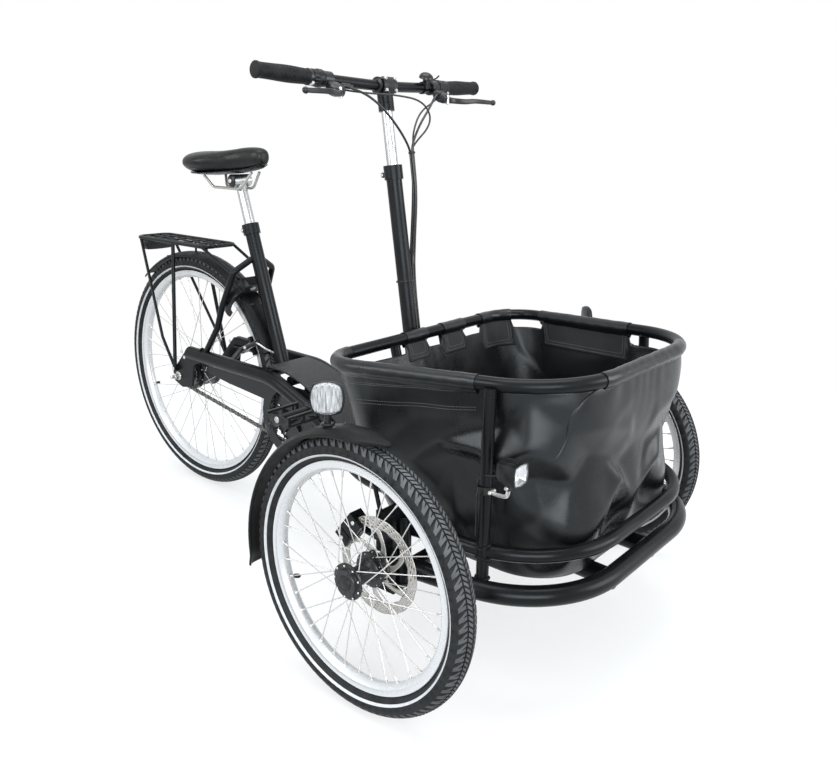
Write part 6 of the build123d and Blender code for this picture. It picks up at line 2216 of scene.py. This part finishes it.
# ---- lamps, brakes and small fittings ---------------------------------------------------
@dataclass
class Headlamp:
    """The small angular headlamp: shell, chrome bowl under a clear lens, hinge and wire bracket."""

    body: str = "frame"
    centre: Array = field(default_factory=lambda: place(1.266, -0.306, 0.462))
    upright: Array = field(default_factory=lambda: place(1.2055, -0.2928, 0.411))
    half_wide: float = 0.0212
    half_high: float = 0.0200

    def loft(self, rows: Sequence[Point], sides: int = 48) -> Array:
        """Rings round the lamp's softened outline, which narrows a little downwards.

        Args:
            rows: For each ring its place ahead of the middle, its size and its lift.
            sides: Points round a ring.

        Returns:
            A grid of points, ring by outline.
        """
        u, v = soft_outline(sides, 0.22)
        v = np.where(v > 0, v, v * (1 - 0.1 * np.abs(u)))
        return np.stack([self.centre + np.stack([
            np.full(sides, x), u * self.half_wide * size, v * self.half_high * size + lift], -1)
            for x, size, lift in rows])

    def shell(self) -> None:
        """The case with its three ribs on top and its foot, the bowl, the bulb and the lens."""
        c = self.centre
        case = Shell().grid(
            self.loft([(-0.0228, 0.0, 0.0), (-0.0226, 0.38, 0.004), (-0.019, 0.74, 0.003),
                (-0.010, 0.93, 0.001), (0.004, 1.0, 0), (0.0168, 1.0, 0), (0.0195, 0.985, 0),
                (0.0195, 0.90, 0), (0.0165, 0.88, 0)]), wrap_v=True)
        for y in (-0.0085, 0.0, 0.0085):
            case.bar(c + vec(-0.014, y, 0.0182), c + vec(0.012, y, 0.0198),
                     box_section(0.0022, 0.0024, 0.0008, 3), 4)
        case.bar(
            c + vec(-0.004, 0, -0.018), c + vec(-0.004, 0, -0.031),
            box_section(0.012, 0.009, 0.002), 4, up=(1, 0, 0))
        case.piece("headlamp_shell", PLASTIC, self.body, ["headlamp"], sharp=32)
        facets = Shell().grid(
            self.loft([(0.0168, 0.88, 0), (0.0080, 0.62, 0), (0.0040, 0.30, 0), (0.0035, 0.0, 0)]),
            wrap_v=True)
        facets.turned(mm((0, 6), (2.6, 5), (3, 0)), c + vec(0.0045, 0, 0.002), (1, 0, 0), 16)
        facets.piece("headlamp_bowl", MIRROR_BOWL, self.body, sharp=25)
        lens = self.loft(
            [(0.0188, 0.90, 0), (0.0204, 0.84, 0), (0.0216, 0.55, 0), (0.0222, 0.0, 0)])
        thicken(
            Shell().grid(lens, wrap_v=True).piece("headlamp_lens", CLEAR_LENS, self.body,
                sharp=40), 0.001, -1)

    def bracket(self) -> None:
        """The wire bracket from the upright to the foot, and the band round the upright."""
        c, u = self.centre, self.upright
        low = c - vec(0, 0, 0.051)
        wire = Shell().tube(
            eased([u + vec(0.013, -0.002, 0), u + vec(0.030, -0.006, 0.001),
                low + vec(-0.008, 0, 0.008), low + vec(-0.004, 0, 0.024)], 10),
            box_section(0.0075, 0.0022, 0.0008, 3), up=(0, 1, 0))
        wire.pin(c + vec(-0.004, 0, -0.0265), 0.0095, 0.0034, 18, 0.0008)
        wire.pin(u + vec(0.014, 0, 0), 0.0085, 0.0034, 18, 0.0008)
        wire.piece("headlamp_bracket", STAINLESS, self.body, sharp=40)
        lean = unit(place(1.205, -0.2915, 0.418) - place(1.2057, -0.2931, 0.404))
        Shell().turned(
            mm((11.3, -6.2), (13.9, -6.2), (14.6, -5.2), (14.6, 5.2), (13.9, 6.2), (11.3, 6.2)), u,
            lean, 48, zero=(1, 0, 0)).piece("headlamp_band", PLASTIC, self.body, sharp=32)

    def build(self) -> None:
        """Makes the lamp, its bracket and its wire."""
        self.shell()
        self.bracket()
        c, u = self.centre, self.upright
        soft_cord(
            "headlamp_wire", [c + vec(-0.0215, 0, -0.010), c + vec(-0.034, 0.001, -0.016),
                u + vec(-0.0135, -0.002, 0.024), u + vec(-0.0150, -0.003, -0.010),
                u + vec(-0.0140, -0.004, -0.055), u + vec(-0.0138, -0.005, -0.088)], 0.0026,
            self.body)


@dataclass
class Fittings:
    """Brake calipers, rim brake, ring lock, tail lamp, axle nuts and dropout bolts."""

    body: str = "frame"

    def calipers(self) -> None:
        """Each caliper's piston cap, cooling fins and bolts, on the knuckle."""
        for side, label in SIDES:
            at = math.radians(142)
            spot = place(
                WHEELBASE + 0.082 * math.cos(at), side * (HALF_TRACK - 0.053), FRONT_TYRE_R + 0.082
                * math.sin(at))
            inward = vec(0, -side, 0)
            along = vec(math.sin(at), 0, -math.cos(at))
            shell, bolts = Shell(), Shell()
            shell.turned(mm((0, 10.5), (8, 10.2), (11.8, 8.5), (12.8, 6), (12.8, 0)),
                         spot + inward * 0.0138, inward, 32, zero=(0, 0, 1))
            for k in range(4):
                start = spot + along * (-0.021 + 0.0035 * k) - inward * 0.0146
                shell.tube(
                    np.linspace(start + unit(np.cross(along, inward)) * -0.012,
                        start + unit(np.cross(along, inward)) * 0.012, 3),
                    box_section(0.0018, 0.0026, 0.0005, 3), up=inward)
            for reach in (-0.0235, 0.0235):
                bolts.rod(
                    spot + along * reach + inward * 0.0138, spot + along * reach + inward * 0.0185,
                    0.0042, 18, 0.0009)
                bolts.rod(
                    spot + along * reach - inward * 0.0138, spot + along * reach - inward * 0.0172,
                    0.0040, 18, 0.0009)
            shell.piece(f"caliper_cap_{label}", DARK_METAL, f"knuckle_{label}", sharp=30)
            bolts.piece(f"caliper_bolts_{label}", STAINLESS, f"knuckle_{label}")

    def rim_brake(self) -> None:
        """The rim brake's springs, noodle pipe, pad washers and inner wire."""
        steel, pads = Shell(), Shell()
        hub = place(0, 0, REAR_TYRE_R)
        for side in (-1, 1):
            top = polar(hub, 0.3225, 25.0, side * 0.037)
            pads.rod(
                polar(hub, 0.3225, 25.0, side * 0.029), polar(hub, 0.3225, 25.0, side * 0.045),
                0.0048, 18, 0.0008)
            steel.rod(
                polar(hub, 0.2785, 25.0, side * 0.0395), polar(hub, 0.2785, 25.0, side * 0.0475),
                0.0042, 16, 0.0008)
            line = eased(
                [polar(hub, 0.2465, 24.0, side * 0.046), polar(hub, 0.270, 22.3, side * 0.047),
                    top], 8)
            steel.tube(line, round_section(0.0009, 8), up=(0, 1, 0.1))
        line = eased(
            [polar(hub, 0.3225, 25.0, -0.041), polar(hub, 0.338, 24.0, -0.046),
                polar(hub, 0.347, 21.0, -0.034), polar(hub, 0.350, 18.6, -0.014)], 10)
        steel.tube(line, round_section(0.0024, 12), up=(0.2, 1, 0.1))
        steel.piece("rim_brake_springs", STAINLESS, self.body)
        pads.piece("rim_brake_pins", DARK_METAL, self.body)

    def lock(self) -> None:
        """The ring lock's key barrel, its cover seam and the shackle's tab."""
        hub = place(0, 0, REAR_TYRE_R)
        at = 49.0
        out = polar(hub, 1.0, at, 0.0) - hub
        round_way = np.cross(out, (0, 1, 0))
        spot = hub + out * 0.3675 - round_way * 0.0140 + vec(0, -0.012, 0)
        Shell().turned(
            mm((0, 2.2), (2.2, 2.2), (2.2, 1), (6.6, 1), (7.8, 0), (7.8, -1)), spot, -round_way,
            28, zero=(0, 1, 0)).turned(mm((0, 2.2), (2.2, 2.2), (2.2, 1), (6.6, 1), (7.8, 0),
                (7.8, -1)), spot + round_way * 0.028, round_way, 28,
            zero=(0, 1, 0)).piece("lock_barrel", STEEL, self.body, sharp=30)
        line = np.array([polar(hub, 0.3675, at, y) for y in np.linspace(-0.0335, 0.0335, 12)])
        shell = Shell()
        for shift in (-0.0141, 0.0141):
            shell.tube(
                line + round_way * shift + out * 0.006, box_section(0.0012, 0.0008, 0.0003, 3),
                up=out)
        shell.rod(polar(hub, 0.316, at, -0.061), polar(hub, 0.316, at, -0.0655), 0.0055, 18, 0.001)
        shell.piece("lock_seams", PLASTIC, self.body)

    def tail_lamp(self) -> None:
        """The tail lamp: a rounded black case whose rear face is a ribbed red lens."""
        spot = place(-0.193, 0, 0.6692)
        u, v = soft_outline(56, 0.16)
        rows = [
            (0.0168, 0.0), (0.0168, 0.93), (0.0150, 1.0), (-0.0090, 1.0), (-0.0105, 0.97),
            (-0.0105, 0.0)]
        grid = np.stack(
            [spot + np.stack([np.full(56, x), u * (0.0418 - (1 - s) * 0.015) * (s > 0),
                v * (0.0148 - (1 - s) * 0.015) * (s > 0)], -1) for x, s in rows])
        case = Shell().grid(grid, wrap_v=True)
        case.tube(
            np.linspace(spot + vec(0, 0, 0.013), spot + vec(0, 0, 0.0182), 2),
            box_section(0.030, 0.020, 0.003), up=(1, 0, 0))
        case.piece("tail_lamp_case", PLASTIC, self.body, ["tail_lamp"], sharp=32)
        y = np.linspace(-1, 1, 85)[:, None]
        z = np.linspace(-1, 1, 15)[None, :]
        a, b = soft_square(y, z, 0.16)
        edge = np.maximum(np.abs(y), np.abs(z))
        ribs = 0.0005 * np.abs(np.mod(y * 14, 1) - 0.5)
        face = -0.0166 + 0.0058 * smooth_step(edge, 0.84, 1.0) + ribs
        Shell().grid(spot + np.stack([face + 0 * a, a * 0.0398, b * 0.0130], -1)).piece(
            "tail_lamp_lens", RED_LENS, self.body, sharp=25)

    def nuts(self) -> None:
        """Axle washers and domed nut ends, and dropout bolts."""
        steel = Shell()
        for side in (-1, 1):
            steel.turned(mm((5.5, 1.2), (11.8, 1.2), (12.2, 0.6), (12.2, -0.2), (5.5, -0.2)),
                         place(0, side * 0.0795, REAR_TYRE_R), (0, side, 0), 32)
            steel.turned(mm((0, 2.6), (3, 2.4), (4.8, 1.2), (5.2, 0)),
                         place(0, side * 0.1018, REAR_TYRE_R), (0, side, 0), 20)
            for x, z in ((0.022, 0.401), (0.034, 0.386)):
                steel.rod(
                    place(x, side * 0.0788, z), place(x, side * 0.0822, z), 0.0048, 16, 0.0009)
            for x, z in ((-0.004, 0.349),):
                steel.rod(
                    place(x, side * 0.0904, z), place(x, side * 0.0935, z), 0.0050, 16, 0.0009)
        steel.piece("axle_and_dropout_bolts", STAINLESS, self.body, sharp=32)

    def build(self) -> None:
        """Makes every fitting."""
        self.calipers()
        self.rim_brake()
        self.lock()
        self.tail_lamp()
        self.nuts()


# ---- stage and camera -------------------------------------------------------------------
@dataclass
class Studio:
    """A pale floor, soft lamps and the camera at the standing viewer's eye."""

    eye: Point = (1.45, -1.3711, 0.9947)
    heading: float = 2.2400
    pitch: float = -0.2348
    roll: float = 0.02084
    lens: float = 36.371
    shift: tuple[float, float] = (-0.03917, -0.0611)
    floor_half: float = 14.0
    floor_lit: float = 0.22
    floor_seen: float = 0.93
    fade: tuple[float, float, float, float] = (0.9, 2.6, 0.6, 1.0)
    sky: tuple[float, float, float, float] = (-0.12, 0.5, 0.03, 1.05)
    lamps: tuple[tuple[str, Point, Point, tuple[float, float], float], ...] = (
        ("overhead", (0.3, -0.2, 3.2), (0.1, 0, 0.4), (2.6, 1.6), 52),
        ("front_window", (3.1, -2.9, 1.45), (0.6, -0.1, 0.4), (2.8, 1.9), 105),
        ("left_window", (3.5, 1.5, 1.5), (0.8, 0, 0.4), (2.2, 1.7), 62),
        ("side_window", (-0.9, -3.2, 1.9), (0.0, 0, 0.5), (1.6, 1.4), 46))

    @staticmethod
    def plain(nodes: Nodes) -> Socket:
        """1 for rays from the eye, off metal and through glass, which see a plain pale surround.

        Args:
            nodes: The tree to build in.

        Returns:
            The socket.
        """
        path = nodes.add("LightPath").outputs
        kinds = [path[f"Is {kind} Ray"] for kind in ("Camera", "Glossy", "Transmission")]
        both = nodes.add("Math", {0: kinds[0], 1: kinds[1]}, operation="MAXIMUM").outputs[0]
        return nodes.add("Math", {0: both, 1: kinds[2]}, operation="MAXIMUM").outputs[0]

    def floor(self) -> None:
        """A wide flat floor, white far off, that keeps the shadow near the object."""
        half = self.floor_half
        mesh = bpy.data.meshes.new("floor")
        mesh.from_pydata([(x, y, -0.0005) for x, y in (
            (-half, -half), (half, -half), (half, half), (-half, half))], [], [(0, 1, 2, 3)])
        floor = bpy.data.objects.new("floor", mesh)
        bpy.context.scene.collection.objects.link(floor)
        made = bpy.data.materials.new("pale_floor")
        made.use_nodes = True
        nodes = Nodes(made.node_tree)
        shader, end = (
            made.node_tree.nodes[name] for name in ("Principled BSDF", "Material Output"))
        plain = self.plain(nodes)
        tone = nodes.add("Mix", data_type="RGBA")
        nodes.feed(
            tone, {"A": (*[self.floor_lit] * 3, 1), "B": (*[self.floor_seen] * 3, 1),
                "Factor": plain})
        nodes.feed(shader, {"Base Color": tone.outputs["Result"], "Roughness": 0.9,
                            "Specular IOR Level": 0.1})
        far = nodes.add(
            "VectorMath", {0: nodes.add("TexCoord").outputs["Object"]}, operation="LENGTH")
        fade = nodes.add("MapRange", {**dict(zip(RANGE, self.fade)), "Value": far.outputs["Value"]})
        share = nodes.add("Math", {0: plain, 1: fade.outputs["Result"]}, operation="MULTIPLY")
        glow = nodes.add("Emission", {"Color": (1, 1, 1, 1)})
        mix = nodes.add(
            "MixShader", {"Fac": share.outputs[0], 1: shader.outputs[0], 2: glow.outputs[0]})
        nodes.feed(end, {"Surface": mix.outputs[0]})
        mesh.materials.append(made)

    def lamp(
            self, name: str, where: Point, target: Point, size: tuple[float, float],
            power: float) -> None:
        """A large soft lamp aimed at a point.

        Args:
            name: The lamp's name.
            where: Its place.
            target: What it points at.
            size: Its width and height.
            power: Its power in watts.
        """
        data = bpy.data.lights.new(name, "AREA")
        data.shape = "RECTANGLE"
        data.size, data.size_y = size
        data.energy = power
        lamp = bpy.data.objects.new(name, data)
        lamp.location = where
        lamp.rotation_mode = "QUATERNION"
        lamp.rotation_quaternion = (Vector(target) - Vector(where)).to_track_quat("-Z", "Y")
        bpy.context.scene.collection.objects.link(lamp)

    def world(self) -> None:
        """A soft dome, dim at the horizon and bright overhead, under the plain surround."""
        world = bpy.data.worlds.new("studio")
        bpy.context.scene.world = world
        world.use_nodes = True
        nodes = Nodes(world.node_tree)
        dome, end = (world.node_tree.nodes[name] for name in ("Background", "World Output"))
        split = nodes.add("SeparateXYZ", {0: nodes.add("TexCoord").outputs["Generated"]})
        rise = nodes.add("MapRange", interpolation_type="SMOOTHSTEP")
        nodes.feed(rise, {**dict(zip(RANGE, self.sky)), "Value": split.outputs["Z"]})
        nodes.feed(dome, {"Color": (0.82, 0.92, 1.0, 1), "Strength": rise.outputs["Result"]})
        white = nodes.add("Background", {"Color": (1, 1, 1, 1), "Strength": 1.0})
        mix = nodes.add(
            "MixShader", {"Fac": self.plain(nodes), 1: dome.outputs[0], 2: white.outputs[0]})
        nodes.feed(end, {"Surface": mix.outputs[0]})

    def camera(self) -> None:
        """The camera: its three axes come from heading, pitch and roll."""
        ahead = vec(
            math.cos(self.heading) * math.cos(self.pitch), math.sin(self.heading)
            * math.cos(self.pitch), math.sin(self.pitch))
        right = vec(math.sin(self.heading), -math.cos(self.heading), 0.0)
        up = np.cross(right, ahead)
        turned = math.cos(self.roll) * right + math.sin(self.roll) * up
        data = bpy.data.cameras.new("camera")
        data.sensor_width = 36.0
        data.lens = self.lens
        data.shift_x, data.shift_y = self.shift
        camera = bpy.data.objects.new("camera", data)
        axes = Matrix(np.stack([turned, np.cross(turned, ahead), -ahead], -1).tolist()).to_4x4()
        camera.matrix_world = Matrix.Translation(self.eye) @ axes
        bpy.context.scene.collection.objects.link(camera)
        bpy.context.scene.camera = camera

    def build(self) -> None:
        """Makes the floor, the lamps, the surround and the camera."""
        self.floor()
        self.world()
        for name, where, target, size, power in self.lamps:
            self.lamp(name, where, target, size, power)
        self.camera()


@dataclass
class CarriedNodes:
    """Finishes for the CAD nodes that stay in view."""

    finishes: dict[str, Finish] = field(
        default_factory=lambda: {"front_spokes_right": STAINLESS, "front_spokes_left": STAINLESS,
            "rear_spokes": STAINLESS, "rear_axle": STAINLESS, "saddle_rails": STEEL,
            "tie_rods": BLACK_COAT, "rear_hub": DARK_METAL, "stem_post": POLISHED,
            "seat_post": POLISHED, "grips": GRIP_RUBBER, "deck_cover": DECK_GRIT,
            "battery_block": PLASTIC, "chain": CHAIN_STEEL, "chain_guard": PLASTIC,
            "crankset": DARK_METAL, "ring_lock": PLASTIC, "rear_brake": DARK_METAL,
            "headlamp": PLASTIC, "tail_lamp": PLASTIC, "pedal_right": PLASTIC,
            "pedal_left": PLASTIC, "saddle": SADDLE_COVER, "tub_bag": TARPAULIN,
            "reflector_right": WHITE_PRISM, "reflector_left": WHITE_PRISM,
            "brake_levers": DARK_METAL, "bar_controls": PLASTIC,
            "front_mudguard_right": GUARD_PLASTIC, "front_mudguard_left": GUARD_PLASTIC,
            "rear_mudguard": GUARD_PLASTIC, "brake_cable_right": CABLE_SKIN,
            "brake_cable_left": CABLE_SKIN,})

    def build(self, nodes: dict[str, bpy.types.Object]) -> None:
        """Dresses every CAD node; those without a finish of their own get the powder coat.

        Args:
            nodes: The CAD nodes by name.
        """
        for name, node in nodes.items():
            material = self.finishes.get(name, BLACK_COAT).material()
            for socket in node.material_slots:
                socket.material = material
            LOG.info("%s is dressed in %s", name, material.name)


def main(frame: dict) -> None:
    """Builds every sub-assembly in order.
    """
    scene = bpy.context.scene
    scene.view_settings.view_transform = "Standard"
    CarriedNodes().build(frame["nodes"])
    for out, side in SIDES:
        FrontWheel(
            f"front_{side}", f"front_wheel_{side}", place(WHEELBASE, out * HALF_TRACK,
                FRONT_TYRE_R), FRONT_TYRE_R, FRONT_RIM_R, out, 0.033).build()
    RearWheel(
        "rear", "rear_wheel", place(0, 0, REAR_TYRE_R), REAR_TYRE_R, REAR_RIM_R, -1, 0.046).build()
    Tub(creases=TUB_CREASES, sleeves=TUB_SLEEVES).build()
    Welds().build()
    for out, side in SIDES:
        hub = place(WHEELBASE, out * HALF_TRACK, FRONT_TYRE_R)
        Mudguard(
            f"front_guard_{side}", f"front_mudguard_{side}", f"knuckle_{side}", hub, 0.2674, 74.0,
            193.0, tongue=0.075, flare=0.007).build()
        PrismReflector(side, out).build()
    Mudguard(
        "rear_guard", "rear_mudguard", "frame", place(0, 0, REAR_TYRE_R), 0.3374, 19.0,
        131.0).build()
    Cockpit().build()
    Seat().build()
    Drive().build()
    Headlamp().build()
    Fittings().build()
    Studio().build()


if __name__ == "__main__":
    logging.basicConfig(level=logging.INFO, format="%(name)s: %(message)s")
    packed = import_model()
    main(packed)
